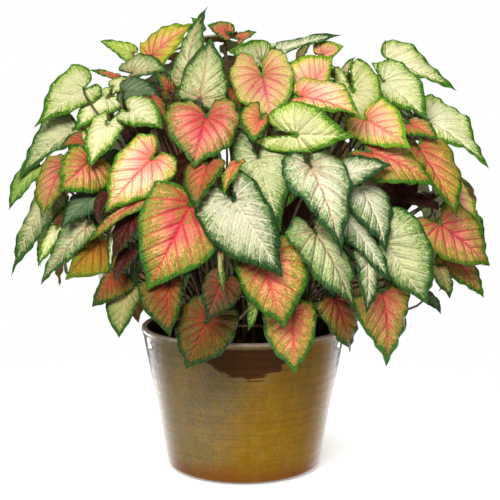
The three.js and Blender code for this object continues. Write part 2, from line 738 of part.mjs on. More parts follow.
// ---------------------------------------------------------------- pot and soil
function turned(profile) {
  const points = profile.map(([r, z]) => new THREE.Vector2(r, z));
  return solidOf(new THREE.LatheGeometry(points, POT.sides).rotateX(Math.PI / 2));
}

function potSolid() {
  const { rimRadius: rim, footRadius: foot, bellyRadius: belly, bellyHeight, height, wall, floor } = POT;
  const lip = wall / 2;
  const slope = (rim - belly) / (height - bellyHeight);
  return turned([
    [0, 0],
    [foot, 0],
    [belly - FOOT_EDGE.inset, FOOT_EDGE.rise * bellyHeight],
    [belly, bellyHeight],
    [rim - slope * lip, height - lip],
    [rim - LIP.shoulder * lip, height - LIP.drop * lip],
    [rim - lip, height],
    [rim - wall + LIP.shoulder * lip, height - LIP.drop * lip],
    [rim - wall - slope * lip, height - lip],
    [belly - wall + slope * floor, floor + FLOOR_EDGE.rise],
    [belly - wall - FLOOR_EDGE.inset, floor],
    [0, floor],
  ]);
}

// The inside radius of the pot at a height.
function innerRadius(z) {
  const slope = (POT.rimRadius - POT.bellyRadius) / (POT.height - POT.bellyHeight);
  return POT.rimRadius - POT.wall - slope * (POT.height - z);
}

// An upright prism with a flat top and bottom.
function prism(centre, radius, low, high) {
  const shape = new THREE.Shape();
  for (let k = 0; k < HOLE.sides; k++) {
    const turn = (2 * Math.PI * k) / HOLE.sides;
    shape[k ? "lineTo" : "moveTo"](centre.x + radius * Math.cos(turn), centre.y + radius * Math.sin(turn));
  }
  const geometry = new THREE.ExtrudeGeometry(shape, { depth: high - low, bevelEnabled: false });
  return solidOf(geometry.translate(0, 0, low));
}

function soilSolid(shoots) {
  const low = POT.floor + SOIL.gap;
  const edge = SOIL.top - SOIL.crown;
  const body = turned([
    [0, low],
    [innerRadius(low) - SOIL.lowInset, low],
    [innerRadius(low + SOIL.lowRise) - SOIL.gap, low + SOIL.lowRise],
    [innerRadius(edge) - SOIL.gap, edge],
    [SOIL.flat * innerRadius(edge), SOIL.top],
    [0, SOIL.top],
  ]);
  const bottom = SOIL.top - HOLE.depth - HOLE.gap;
  const holes = shoots.map(({ hole }) =>
    prism(hole, HOLE.sheathRadius + HOLE.gap, bottom, SOIL.top + HOLE.over),
  );
  return body.subtract(wasm.Manifold.union(holes));
}

// The sheath that holds a shoot's petioles together where they stand in the soil.
function sheathSolid(hole, extra) {
  return prism(hole, HOLE.sheathRadius + extra, SOIL.top - HOLE.depth, SOIL.top + HOLE.sheathTop);
}

// ---------------------------------------------------------------- the whole plant
const MATERIALS = {
  pot: new THREE.MeshStandardMaterial({ color: 0x8a6a1e, roughness: 0.18, metalness: 0 }),
  soil: new THREE.MeshStandardMaterial({ color: 0x2a1a10, roughness: 0.95, metalness: 0 }),
  white: new THREE.MeshStandardMaterial({ color: 0xd9e2c0, roughness: 0.45, metalness: 0 }),
  pink: new THREE.MeshStandardMaterial({ color: 0xd9776a, roughness: 0.45, metalness: 0 }),
};

function meshFor(name, solid, material) {
  const mesh = new THREE.Mesh(geometryOf(solid), material);
  mesh.name = name;
  return mesh;
}

const pot = potSolid();
place(pot, {});
const front = FRONT.map((row, i) => sheetLeaf(row, i, 0));
const core = CORE.map(([inward, ...row], i) => sheetLeaf(row, FRONT.length + i, inward));
const leaves = [...front, ...backLeaves(), ...core].filter((leaf) => settleBlade(leaf, 0));

const shoots = gatherShoots(leaves);
plantShoots(shoots);
const soil = soilSolid(shoots);
shoots.forEach((shoot) => place(sheathSolid(shoot.hole, PETIOLE.clearance), { shoot }));
shoots.forEach((shoot) => shoot.leaves.forEach((leaf) => Object.assign(leaf, { shoot })));
[...leaves].sort((a, b) => hardness(b) - hardness(a)).forEach((leaf) => settlePetiole(leaf, shoots));

const plant = new THREE.Group();
plant.add(meshFor("pot", pot, MATERIALS.pot));
plant.add(meshFor("soil", soil, MATERIALS.soil));
shoots.forEach((shoot, i) => {
  const standing = leaves.filter((leaf) => leaf.shoot === shoot && leaf.line);
  const solid = standing.reduce(
    (whole, leaf) => whole.add(bladeSolid(leaf, leaf.pose, BLADE.thickness)).add(petioleSolid(leaf.line, 0)),
    sheathSolid(shoot.hole, 0),
  );
  const name = `${shoot.variety}_shoot_${String(i + 1).padStart(2, "0")}`;
  plant.add(meshFor(name, solid, MATERIALS[shoot.variety]));
});

export default plant;
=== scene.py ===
"""A potted caladium: the finished look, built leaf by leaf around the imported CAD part.

Lengths are in millimetres up to the point where a mesh is made. +Z is up, the front faces -Y.
"""

import itertools
import math

import bpy
import numpy as np
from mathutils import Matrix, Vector, kdtree, noise


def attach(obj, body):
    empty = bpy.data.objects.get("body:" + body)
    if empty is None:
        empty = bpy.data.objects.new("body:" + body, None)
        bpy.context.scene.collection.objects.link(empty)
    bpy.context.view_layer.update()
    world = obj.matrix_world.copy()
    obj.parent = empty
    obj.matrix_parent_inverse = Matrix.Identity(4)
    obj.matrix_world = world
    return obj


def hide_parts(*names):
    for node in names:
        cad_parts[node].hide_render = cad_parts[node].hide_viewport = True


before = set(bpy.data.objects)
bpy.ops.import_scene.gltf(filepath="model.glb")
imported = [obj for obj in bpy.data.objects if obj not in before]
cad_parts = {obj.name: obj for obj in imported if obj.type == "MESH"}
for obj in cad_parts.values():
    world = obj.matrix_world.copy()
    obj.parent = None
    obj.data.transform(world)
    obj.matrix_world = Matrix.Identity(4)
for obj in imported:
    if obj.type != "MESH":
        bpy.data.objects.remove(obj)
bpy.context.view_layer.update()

# ---------------------------------------------------------------- dimensions shared with the solids
MM = 0.001
EYE = np.array([9.0, -1798.0, 553.0])
SHEET_SIZE = 500
SHEET_FOCAL = 1250
SHEET_TILT = math.radians(7.45)
DOME_CENTRE = np.array([8.0, 0.0, 372.0])
DOME_ACROSS, DOME_DEEP, DOME_UP, DOME_DOWN = 338, 300, 262, 330
TUCK_JOINT, TUCK_TIP, TUCK_LEAN = 0.86, 0.98, 0.55
NATURAL = {"white": 0.7, "pink": 0.8}
MOST_TURN = math.radians(42)
SLIDE_STEP, SLIDE_MOST, SLIDE_BACK, SLIDE_ROCK = 5, 60, 8, 12
ROCKS = (0, 1, -1, 2, -2)
SOIL_TOP = 188
SHEATH_FOOT, SHEATH_TOP = 162, 200
REACHES = (62, 34, 96)
BEND_SIZE = 16
PETIOLE_INSET = 3.5
MIDRIB = 0.45
SOLID_THICKNESS = 1.0
STEM_SOLID_RADII = (2.7, 1.7)
FOLD_LIFT, WAVE_RISE, WAVE_SIDE = 0.18, 4, 1.7
RISE_LEAST, RISE_SHARE, RISE_MORE, REACH_MOST = 62, 0.55, 22, 0.4
FIRST_LEAN, SECOND_BACK, SECOND_DOWN = 0.12, 0.8, 0.35
BEND_ASIDE, BEND_UP, BEND_MOST = 7, 4, 10
COST_UP, COST_LOW, COST_REACH = 1.1, 1.3, 0.7

# Half of a blade's outline from tip to sinus: along, where 1 is the tip and -1 the basal lobe's end, and
# across, where 1 is half the width. There is one for most leaves, one for a long drip tip, and a plain one
# for small leaves.
LOBE = ((-0.55, 0.9), (-1, 0.48), (-0.7, 0.13))
OUTLINE = ((1, 0), (0.85, 0.22), (0.64, 0.62), (0.37, 0.92), (0.06, 1), *LOBE)
DRIP_OUTLINE = ((1, 0), (0.78, 0.21), (0.56, 0.56), (0.34, 0.87), (0.08, 1), *LOBE)
PLAIN_OUTLINE = ((1, 0), (0.58, 0.7), (0.14, 1), (-0.6, 0.86), (-0.9, 0.3))
SMALL = 52

WHITE, PINK = "white", "pink"
DRIP = True

# ---------------------------------------------------------------- how the leaves are coloured
# Each look: body, middle, veins, margin and flecks as colours, then the margin's width and how far in from
# it the flecks reach, in millimetres, and how strong the net of small veins and the flecks are.
WHITE_LOOKS = {
    "frost": ("C6CCA2", "DADBBC", "DEDDB8", "1F4A20", "4C7634", 5, 31, 0.15, 1.08),
    "chalk": ("BEC49C", "D4D5B6", "D8D8B8", "1C461C", "44702E", 5.5, 32, 0.12, 1.0),
    "veined": ("D2DAB0", "E6E7C8", "D0B298", "204C22", "4E7838", 5, 30, 0.2, 1.0),
    "celadon": ("B8C28A", "CBCF9E", "C8C49C", "28581C", "527A34", 5, 34, 0.3, 1.05),
    "cream": ("DCE2A4", "F0F0C6", "EEECC0", "3E7410", "7EA82C", 5, 24, 0.2, 1.05),
    "lime": ("CED690", "E0E0AE", "E4E2AA", "44780E", "84AC24", 5.5, 24, 0.2, 1.05),
    "acid": ("B6C85A", "C8D67A", "9CB440", "3E7210", "6C9A1C", 3.5, 20, 0.3, 0.9),
    # painted shade: a white leaf's look deepened to grey green, for leaves that lie in shade
    "grey": ("B4C08A", "D0D8A2", "B89A78", "2C5420", "588236", 4.5, 34, 0.3, 0.95),
    # painted shade: a white leaf's look darkened to dull teal green, for leaves deep in shade and in the
    # heart of the crown
    "teal": ("5C7452", "7A8E64", "46603C", "1E4020", "34562E", 4, 24, 0.5, 0.8),
    "green": ("76983E", "8CA852", "A4BC62", "2E6018", "4E7A24", 4, 22, 0.4, 0.9),
    "sage": ("8A9C56", "A0AB68", "BE9E6A", "2E5818", "4C6E2A", 4, 24, 0.4, 0.9),
}
PINK_LOOKS = {
    "rose": ("F6B074", "D4565A", "C4263C", "366E1A", "708420", 5, 46, 0.6, 1.25),
    "ruby": ("EEA080", "DC6262", "CA2A40", "366A1C", "707E2A", 4, 32, 0.5, 1.05),
    "dusty": ("F0B498", "E2827A", "BE4450", "5E8E2C", "B0B45A", 3.5, 42, 0.5, 1.0),
    "salmon": ("FFE0AC", "FFBAA2", "EE5656", "4C8414", "A2AC24", 4, 27, 0.5, 1.0),
    "amber": ("F4BE78", "EE9478", "D4484A", "3C7010", "7E9018", 5, 42, 0.7, 1.15),
    "bronze": ("ECB85E", "DC8A62", "C84C4C", "3A6A10", "72861A", 5, 50, 0.8, 1.2),
    "peach": ("FEDCA4", "FEBEA2", "F06E6A", "72A21A", "BCC634", 4.5, 28, 0.4, 1.0),
    "sunny": ("EEC880", "F4A482", "E4605A", "6E900C", "B0B822", 5, 44, 0.5, 1.15),
    "coral": ("ECB078", "DC7E6A", "C83C4E", "4A7014", "7C8E1E", 4.5, 42, 0.7, 1.12),
    "netted": ("FABE7C", "EC8068", "DA424C", "326A12", "728A1A", 5, 44, 0.7, 1.1),
    "shaded_net": ("B08440", "BC5C48", "C4443E", "22500E", "526412", 5, 40, 0.7, 1.2),
    # painted shade over the leaves' own colours: the next two are pink leaves' looks deepened to olive and
    # umber brown, for the lower leaves in shade
    "olive": ("6C500C", "863C16", "B63A30", "264A04", "5C640A", 5, 44, 0.6, 1.15),
    "umber": ("46420A", "4A2408", "963020", "1C3C04", "444E06", 5, 52, 0.75, 1.3),
    # painted shade: a pink leaf coloured dark green with red veins, as it looks in deep shade
    "dusk": ("34481A", "4E3A1C", "A0402F", "1C3810", "2A4612", 4, 26, 0.6, 0.8),
    # painted shade: a pink leaf's look darkened to wine brown, for leaves deep in shade and in the heart of
    # the crown
    "wine": ("4A1E14", "501814", "38100E", "22300E", "342010", 2, 20, 0.4, 0.6),
    # painted light and shade: a pink leaf coloured golden as if lit through from behind, browner where shaded
    "gold": ("B08C14", "A86C1C", "8C4020", "56700C", "7C8010", 4, 40, 0.5, 1.1),
}
LOOKS = WHITE_LOOKS | PINK_LOOKS
BACK_LOOKS = {PINK: ("rose", "salmon", "netted", "amber"), WHITE: ("frost", "cream", "veined", "lime")}
# the petioles' own brown and green, deepened with painted shade for where they stand under the crown
STEM = {WHITE: "34360F", PINK: "2E140B"}
UNDER = {WHITE: "8E9E66", PINK: "A07252"}

# ---------------------------------------------------------------- the leaves
# Look, joint, tip, half widths and basal lobes as seen from EYE on a sheet SHEET_SIZE square, outermost leaf
# first. Half widths and lobes are given for the left and the right of the midrib, the tip pointing down.
FRONT = (
    ("chalk", (234, 199), (283, 277), (43, 28), (26, 26)),
    ("lime", (296, 135), (357, 137), (18, 33), (46, 30), DRIP),
    ("veined", (310, 166), (342, 257), (27, 33), (18, 16), DRIP),
    ("celadon", (258, 157), (281, 233), (26, 35), (38, 12), DRIP),
    ("rose", (191, 204), (147, 291), (43, 45), (12, 14)),
    ("salmon", (153, 158), (105, 213), (29, 27), (18, 15)),
    ("ruby", (206, 116), (193, 168), (40, 34), (10, 24)),
    ("grey", (315, 232), (355, 311), (24, 20), (22, 12)),
    ("netted", (262, 262), (285, 329), (28, 43), (10, 20)),
    ("cream", (108, 124), (90, 168), (17, 16), (15, 22)),
    ("cream", (128, 111), (163, 129), (13, 22), (8, 12)),
    ("coral", (64, 165), (42, 219), (19, 16), (14, 5)),
    ("lime", (86, 88), (34, 128), (27, 15), (14, 13), DRIP),
    ("peach", (365, 119), (411, 149), (21, 27), (15, 6)),
    ("lime", (353, 91), (365, 128), (18, 28), (32, 32)),
    ("cream", (383, 81), (428, 120), (17, 26), (8, 20)),
    ("cream", (427, 120), (489, 169), (12, 27), (5, 20), DRIP),
    ("amber", (369, 152), (436, 187), (23, 20), (18, 8)),
    ("frost", (336, 180), (392, 165), (14, 18), (8, 8), DRIP),
    ("frost", (358, 184), (386, 253), (20, 20), (6, 10)),
    ("frost", (345, 217), (390, 282), (13, 14), (5, 5)),
    ("celadon", (385, 243), (428, 305), (20, 40), (6, 28)),
    ("bronze", (418, 148), (457, 218), (14, 27), (4, 10)),
    ("coral", (440, 224), (490, 266), (26, 30), (24, 6)),
    ("netted", (261, 118), (253, 143), (20, 8), (17, 8)),
    ("dusty", (262, 75), (273, 124), (32, 31), (28, 24)),
    ("salmon", (300, 97), (362, 117), (10, 24), (6, 15)),
    ("grey", (200, 100), (211, 37), (26, 23), (8, 3)),
    ("netted", (292, 312), (295, 374), (30, 24), (4, 12)),
    ("netted", (382, 291), (386, 367), (29, 24), (4, 4), DRIP),
    ("olive", (334, 297), (350, 352), (19, 20), (6, 6)),
    ("dusk", (222, 282), (207, 321), (18, 23), (14, 12)),
    ("olive", (168, 283), (170, 337), (30, 14), (4, 6)),
    ("olive", (117, 275), (92, 307), (9, 20), (5, 8)),
    ("coral", (150, 196), (88, 243), (6, 8), (4, 4)),
    ("celadon", (50, 192), (11, 277), (14, 17), (8, 8), DRIP),
    ("cream", (387, 60), (457, 91), (10, 21), (4, 10), DRIP),
    ("grey", (88, 225), (41, 285), (17, 11), (6, 8), DRIP),
    ("amber", (89, 162), (58, 192), (23, 30), (6, 16)),
    ("celadon", (75, 129), (17, 181), (24, 9), (8, 3), DRIP),
    ("lime", (86, 132), (98, 168), (5, 6), (4, 4)),
    ("cream", (108, 98), (76, 130), (15, 14), (14, 10)),
    ("umber", (207, 321), (186, 369), (28, 31), (22, 28)),
    ("green", (40, 165), (9, 210), (14, 8), (6, 4)),
    ("teal", (122, 92), (161, 96), (10, 16), (4, 6)),
    ("grey", (131, 74), (168, 71), (5, 19), (4, 17)),
    ("netted", (170, 92), (157, 73), (8, 9), (3, 3)),
    ("sunny", (151, 57), (197, 23), (15, 17), (4, 8)),
    ("grey", (186, 82), (208, 6), (17, 16), (5, 5), DRIP),
    ("peach", (312, 85), (333, 56), (12, 30), (8, 12)),
    ("peach", (321, 56), (344, 46), (7, 14), (3, 6)),
    ("lime", (262, 61), (228, 51), (20, 8), (10, 4)),
    ("amber", (448, 252), (484, 298), (15, 15), (6, 4)),
    ("frost", (366, 252), (366, 314), (11, 12), (8, 8)),
    ("peach", (445, 186), (474, 238), (10, 17), (4, 4)),
    ("sage", (128, 288), (119, 338), (21, 13), (4, 4)),
    ("teal", (97, 195), (61, 229), (15, 11), (6, 6)),
    ("gold", (101, 240), (65, 280), (12, 30), (4, 12)),
    ("shaded_net", (208, 164), (196, 210), (20, 16), (6, 6)),
    ("sage", (221, 252), (226, 298), (4, 4), (3, 3)),
    ("amber", (238, 162), (224, 197), (9, 6), (4, 4)),
    ("rose", (297, 172), (286, 207), (5, 7), (3, 3)),
    ("shaded_net", (230, 87), (242, 113), (8, 8), (4, 4)),
    ("grey", (172, 72), (184, 100), (4, 5), (3, 3)),
    ("frost", (280, 51), (342, 35), (5, 8), (4, 6)),
    ("acid", (134, 54), (100, 41), (8, 9), (3, 4)),
    ("lime", (112, 87), (138, 79), (7, 8), (4, 4)),
    ("netted", (120, 78), (88, 70), (4, 4), (3, 3)),
    ("netted", (228, 34), (207, 25), (11, 7), (6, 4)),
    ("netted", (238, 40), (257, 32), (4, 6), (3, 3)),
    ("lime", (203, 31), (191, 17), (5, 6), (2, 2)),
    ("sage", (299, 60), (312, 42), (6, 6), (3, 3)),
    ("lime", (344, 74), (355, 57), (5, 5), (3, 3)),
    ("cream", (378, 75), (400, 100), (9, 12), (8, 16)),
    ("netted", (408, 124), (438, 140), (10, 12), (4, 4)),
    ("shaded_net", (150, 97), (168, 125), (9, 8), (4, 4)),
    ("shaded_net", (86, 138), (60, 148), (9, 8), (3, 3)),
    ("wine", (106, 192), (98, 224), (8, 7), (3, 3)),
    ("lime", (58, 228), (38, 267), (8, 9), (4, 4)),
    ("wine", (140, 206), (112, 262), (14, 12), (4, 4)),
    ("frost", (117, 226), (110, 274), (6, 6), (3, 3)),
    ("wine", (130, 250), (115, 282), (9, 8), (3, 3)),
    ("teal", (134, 244), (137, 296), (6, 6), (3, 3)),
    ("teal", (197, 244), (184, 296), (4, 3), (2, 2)),
    ("green", (256, 296), (248, 331), (8, 6), (2, 2)),
    ("sage", (438, 267), (450, 299), (11, 8), (2, 2)),
    ("wine", (434, 200), (402, 202), (9, 10), (4, 4)),
    ("sage", (397, 308), (405, 331), (5, 5), (2, 2)),
    ("green", (452, 200), (485, 244), (12, 15), (4, 4)),
    ("teal", (424, 294), (441, 314), (7, 7), (3, 3)),
)

# Leaves in the heart of the crown, dark with painted shade: the share of the way in from the dome's near
# side, then the same.
CORE = (
    (0.85, "wine", (180, 244), (184, 312), (28, 28), (10, 10)),
    (0.85, "teal", (232, 240), (230, 312), (28, 28), (10, 10)),
    (0.85, "wine", (284, 244), (286, 314), (28, 28), (10, 10)),
    (0.85, "teal", (336, 240), (334, 308), (26, 26), (10, 10)),
    (0.7, "teal", (134, 218), (132, 286), (24, 24), (10, 10)),
    (0.7, "wine", (385, 216), (388, 286), (24, 24), (10, 10)),
    (0.6, "wine", (394, 168), (400, 226), (24, 24), (10, 10)),
    (0.6, "teal", (342, 170), (344, 236), (24, 24), (10, 10)),
    (0.6, "wine", (292, 180), (290, 244), (22, 22), (10, 10)),
    (0.6, "wine", (196, 158), (198, 220), (22, 22), (10, 10)),
    (0.6, "teal", (100, 160), (96, 228), (24, 24), (10, 10)),
    (0.5, "wine", (146, 98), (138, 160), (24, 24), (8, 8)),
)

# Rows of leaves round the back: degrees down from the top, how many, and the arc they share.
BACK_ROWS = ((106, 5, 55), (88, 6, 78), (68, 7, 80), (50, 6, 76), (30, 5, 100), (8, 1, 90))
BACK_LENGTH, BACK_SPREAD, BACK_SCALE, BACK_HALF, BACK_LOBE = 112, 14, 0.92, 0.42, 0.34
BACK_JITTER, BACK_SEED, BACK_SHORTEST, BACK_LONGER, BACK_SWING = 9, 41, 0.85, 0.35, 0.8
LEAF_SEED, LEAF_SEED_STEP = 1000, 7919
DOME_NUDGE = 0.3  # the turn, in radians, between the two points of the dome that give a leaf its direction

# What differs from leaf to leaf, as its least value and its spread: bow along the midrib, droop across it,
# the margin's waves and its twist.
QUIRKS = {
    "bow": (0.04, 0.05),
    "droop": (0.14, 0.2),
    "wave": (0.016, 0.022),
    "waves": (2, 1.2),
    "phase": (0, 2 * math.pi),
    "twist": (-0.2, 0.4),
}


# ---------------------------------------------------------------- small helpers
def unit(v):
    return v / np.linalg.norm(v)


def clamp(value, low, high):
    return min(max(value, low), high)


def random_from(seed):
    """Seeded random numbers from 0 to 1, the same ones as the solids were made with."""
    state = seed
    while True:
        state = (state * 1664525 + 1013904223) % 4294967296
        yield state / 4294967296


def linear(hex_colour):
    """A colour written in sRGB as linear red, green and blue."""
    srgb = np.array([int(hex_colour[i : i + 2], 16) / 255 for i in (0, 2, 4)])
    return np.where(srgb <= 0.04045, srgb / 12.92, ((srgb + 0.055) / 1.055) ** 2.4)


# ---------------------------------------------------------------- where a leaf is
AHEAD = np.array([0, math.cos(SHEET_TILT), -math.sin(SHEET_TILT)])
ABOVE = np.array([0, math.sin(SHEET_TILT), math.cos(SHEET_TILT)])
UP = np.array([0.0, 0.0, 1.0])


def sight_through(across, down):
    """The direction from EYE through a point of the sheet."""
    half = SHEET_SIZE / 2
    return unit(AHEAD * SHEET_FOCAL + np.array([across - half, 0, 0]) + ABOVE * (half - down))


def on_dome(sight, share, inward):
    """Where a sight line meets the dome scaled by a share, or a share inward of the way from there in."""
    height = DOME_UP
    for _ in range(2):
        size = np.array([DOME_ACROSS, DOME_DEEP, height]) * share
        o = (EYE - DOME_CENTRE) / size
        d = sight / size
        nearest = -(o @ d) / (d @ d)
        under = nearest * nearest - (o @ o - 1) / (d @ d)
        point = EYE + sight * (nearest - (1 - inward) * math.sqrt(max(0, under)))
        height = DOME_DOWN if point[2] < DOME_CENTRE[2] else DOME_UP
    return point


def dome_normal(point):
    out = point - DOME_CENTRE
    height = DOME_DOWN if out[2] < 0 else DOME_UP
    return unit(out / np.array([DOME_ACROSS**2, DOME_DEEP**2, height**2]))


def quirks(random):
    return {name: least + spread * next(random) for name, (least, spread) in QUIRKS.items()}


def sheet_leaf(index, row, inward=0.0):
    look, joint, tip, halves, lobes, *drips = row
    joint_sight, tip_sight = sight_through(*joint), sight_through(*tip)
    joint_far = np.linalg.norm(EYE - on_dome(joint_sight, TUCK_JOINT, inward))
    lean = TUCK_LEAN * math.dist(joint, tip) * joint_far / SHEET_FOCAL
    tip_far = np.linalg.norm(EYE - on_dome(tip_sight, TUCK_TIP, inward))
    tip_far = clamp(tip_far, joint_far - lean, joint_far + lean)
    leaf = {
        "variety": WHITE if look in WHITE_LOOKS else PINK,
        "look": look,
        "joint": EYE + joint_sight * joint_far,
        "tip": EYE + tip_sight * tip_far,
        "joint_slide": joint_sight,
        "tip_slide": tip_sight,
        "most": SLIDE_MOST,
        "drips": bool(drips),
        "seen_halves": np.array(halves, float),
        "seen_lobes": np.array(lobes, float),
    }
    return leaf | quirks(random_from(LEAF_SEED + index * LEAF_SEED_STEP))


def dome_point(out, down, scale):
    """Where the scaled dome is met, down by an angle from its top, towards a level direction out."""
    height = DOME_DOWN if math.cos(down) < 0 else DOME_UP
    flat = np.array([out[0] * DOME_ACROSS, out[1] * DOME_DEEP, 0]) * math.sin(down)
    return (flat + UP * math.cos(down) * height) * scale + DOME_CENTRE


def dome_leaf(look, out, down, scale, length, swing, spreads, shares):
    """A leaf that lies along the dome and slides straight out from the pot's axis."""
    joint = dome_point(out, down, scale)
    side = np.array([-out[1], out[0], 0]) * swing
    along = unit(unit(dome_point(out, down + DOME_NUDGE, scale) - joint) + side)
    return {
        "variety": WHITE if look in WHITE_LOOKS else PINK,
        "look": look,
        "joint": joint - out * spreads[0],
        "tip": joint + along * length + out * spreads[1],
        "joint_slide": out,
        "tip_slide": out,
        "most": SLIDE_BACK,
        "drips": False,
        "halves": np.full(2, shares[0] * length),
        "lobes": np.full(2, shares[1] * length),
    }


def back_leaves():
    """The rows of leaves round the back."""
    random = random_from(BACK_SEED)
    leaves = []
    for level, (down_to, count, arc) in enumerate(BACK_ROWS):
        for i in range(count):
            share = 2 * (i + 0.5) / count - 1
            bearing = math.radians(90 + arc * share + BACK_JITTER * (next(random) - 0.5))
            down = math.radians(down_to + BACK_JITTER * (next(random) - 0.5))
            out = np.array([math.cos(bearing), math.sin(bearing), 0])
            length = BACK_LENGTH * (BACK_SHORTEST + BACK_LONGER * next(random))
            swing = BACK_SWING * (next(random) - 0.5)
            looks = BACK_LOOKS[WHITE if (i + level) % 2 else PINK]
            look = looks[(i // 2 + level) % len(looks)]
            spreads, shares = (BACK_SPREAD, BACK_SPREAD), (BACK_HALF, BACK_LOBE)
            leaf = dome_leaf(look, out, down, BACK_SCALE, length, swing, spreads, shares)
            leaves.append(leaf | quirks(random))
    return leaves


def pose_of(leaf, slides, rock):
    """A blade's frame after a number of slides, with its tip rocked: joint, length, axes and sizes."""
    joint = leaf["joint"] + leaf["joint_slide"] * (slides * SLIDE_STEP)
    tip = leaf["tip"] + leaf["tip_slide"] * (slides * SLIDE_STEP + rock * SLIDE_ROCK)
    length = np.linalg.norm(tip - joint)
    along = (tip - joint) / length
    seen = "seen_halves" in leaf
    front = -leaf["joint_slide"] if seen else dome_normal(joint)
    slant = front @ along
    face = unit(front - along * slant)
    across = np.cross(face, along)
    if not seen:
        return joint, length, along, across, face, leaf["halves"], leaf["lobes"]
    scale = (joint - EYE) @ AHEAD / SHEET_FOCAL
    ratio = min(1, leaf["seen_halves"].sum() * scale / (NATURAL[leaf["variety"]] * length))
    side = dome_normal(joint + 0.4 * (tip - joint)) @ across
    roll = math.copysign(min(math.acos(ratio), MOST_TURN), side)
    shown = max(0.5, math.sqrt(1 - slant * slant))
    rolled_across = across * math.cos(roll) - face * math.sin(roll)
    rolled_face = face * math.cos(roll) + across * math.sin(roll)
    halves = leaf["seen_halves"] * scale / math.cos(roll)
    lobes = leaf["seen_lobes"] * scale / shown
    return joint, length, along, rolled_across, rolled_face, halves, lobes


def blade_flat(pose, along, across, side, share):
    """A blade's own flat coordinates in millimetres: towards the tip, and to the right of the midrib."""
    _, length, _, _, _, halves, lobes = pose
    right = (side > 0).astype(int)
    reach = share * along * np.where(along < 0, lobes[right], length)
    return reach, share * across * side * halves[right]


def blade_points(leaf, pose, along, across, side, place, share):
    """Points of a blade's middle surface, as the solids have them."""
    joint, length, ahead, sideways, face, halves, _ = pose
    reach, right = blade_flat(pose, along, across, side, share)
    t = share * across * side
    s = reach / length
    bow = 4 * leaf["bow"] * np.where(s < 0, 0.5 * s, s * (1 - s)) * length
    droop = halves.mean() * (FOLD_LIFT * np.abs(t) - leaf["droop"] * t * t + leaf["twist"] * t * s)
    swing = np.sin(2 * math.pi * leaf["waves"] * place + leaf["phase"] + WAVE_SIDE * side)
    wave = leaf["wave"] * length * share**2 * np.minimum(1, WAVE_RISE * place) * swing
    flat = joint + np.outer(reach, ahead) + np.outer(right, sideways)
    return flat + np.outer(bow + droop + wave, face)


def petiole_end(leaf, pose):
    one = np.ones(1)
    midrib = blade_points(leaf, pose, one * MIDRIB, one * 0, one, one * 0, one)[0]
    return pose[0] + unit(midrib - pose[0]) * PETIOLE_INSET


def petiole_controls(end, face, hole, bends):
    """Control points of the petiole's curve for each bend: sideways, upward, low and reach."""
    bends = np.atleast_2d(bends)
    start = np.array([hole[0], hole[1], SOIL_TOP])
    span = end - start
    side = unit(np.array([-span[1], span[0], 0]))
    rise = max(RISE_LEAST, RISE_SHARE * span[2] + RISE_MORE)
    reach = np.minimum(np.array(REACHES)[bends[:, 3]], REACH_MOST * np.linalg.norm(span))
    first = start + np.array([FIRST_LEAN * span[0], FIRST_LEAN * span[1], rise])
    first = first + np.outer(bends[:, 2] * BEND_SIZE, side)
    second = end + np.outer(-SECOND_BACK * reach, face)
    second = second + np.outer(bends[:, 1] * BEND_SIZE - SECOND_DOWN * reach, UP)
    second = second + np.outer(bends[:, 0] * BEND_SIZE, side)
    ends = np.ones((len(bends), 1))
    return np.stack([ends * start, first, second, ends * end], axis=1)


def curve_point(controls, share):
    """Points and unit tangents of cubic curves; controls is (..., 4, 3)."""
    u = 1 - share
    weights = np.array([u**3, 3 * u * u * share, 3 * u * share**2, share**3])
    slopes = np.array([-u * u, u * u - 2 * u * share, 2 * u * share - share**2, share**2])
    point = np.einsum("...kc,k->...c", controls, weights)
    ahead = np.einsum("...kc,k->...c", controls, slopes)
    return point, ahead / np.linalg.norm(ahead, axis=-1, keepdims=True)


def ring_axes(ahead):
    """Two directions square to a petiole, the same ones that its solid is made with."""
    right = np.cross(ahead, np.array([0.31, 0.83, 0.46]))
    right = right / np.linalg.norm(right, axis=-1, keepdims=True)
    return right, np.cross(right, ahead)


# ---------------------------------------------------------------- finding each leaf among the solids
def corners(node):
    """A CAD node's corners in millimetres, each once."""
    mesh = node.data
    flat = np.empty(3 * len(mesh.vertices), np.float32)
    mesh.vertices.foreach_get("co", flat)
    return np.unique((flat.reshape(-1, 3).astype(float) / MM).round(3), axis=0)


def all_bends():
    """Every bend that a petiole may take."""
    bends = []
    ups = range(-BEND_UP, BEND_UP + 1)
    for aside, up, low in itertools.product(range(-BEND_ASIDE, BEND_ASIDE + 1), ups, ups):
        for reach in range(len(REACHES)):
            if abs(aside) + COST_UP * abs(up) + COST_LOW * abs(low) + COST_REACH * reach <= BEND_MOST:
                bends.append((aside, up, low, reach))
    return np.array(bends)


SHOOT_NODES = {name: corners(node) for name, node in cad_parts.items() if "_shoot_" in name}
BENDS = all_bends()
NEAR = 0.1  # how near a corner has to be to count as found
FAR = 5  # how far off a corner may be before it counts no more against a bend


def tree_of(points):
    tree = kdtree.KDTree(len(points))
    for i, point in enumerate(points):
        tree.insert(point, i)
    tree.balance()
    return tree


def locate(leaf, tree, owners):
    """Finds the slides and the rock of a leaf, and the shoot it grows in, from its tip's two corners."""
    half = SOLID_THICKNESS / 2
    for slides in range(leaf["most"] + 1):
        for rock in ROCKS:
            travel = slides * SLIDE_STEP + rock * SLIDE_ROCK
            tip = leaf["tip"] + leaf["tip_slide"] * travel
            if tree.find(tip)[2] > half + NEAR:
                continue
            pose = pose_of(leaf, slides, rock)
            found = [tree.find(tip + pose[4] * lift) for lift in (half, -half)]
            if all(distance < NEAR for _, _, distance in found):
                return pose, owners[found[0][1]]
    return None, None


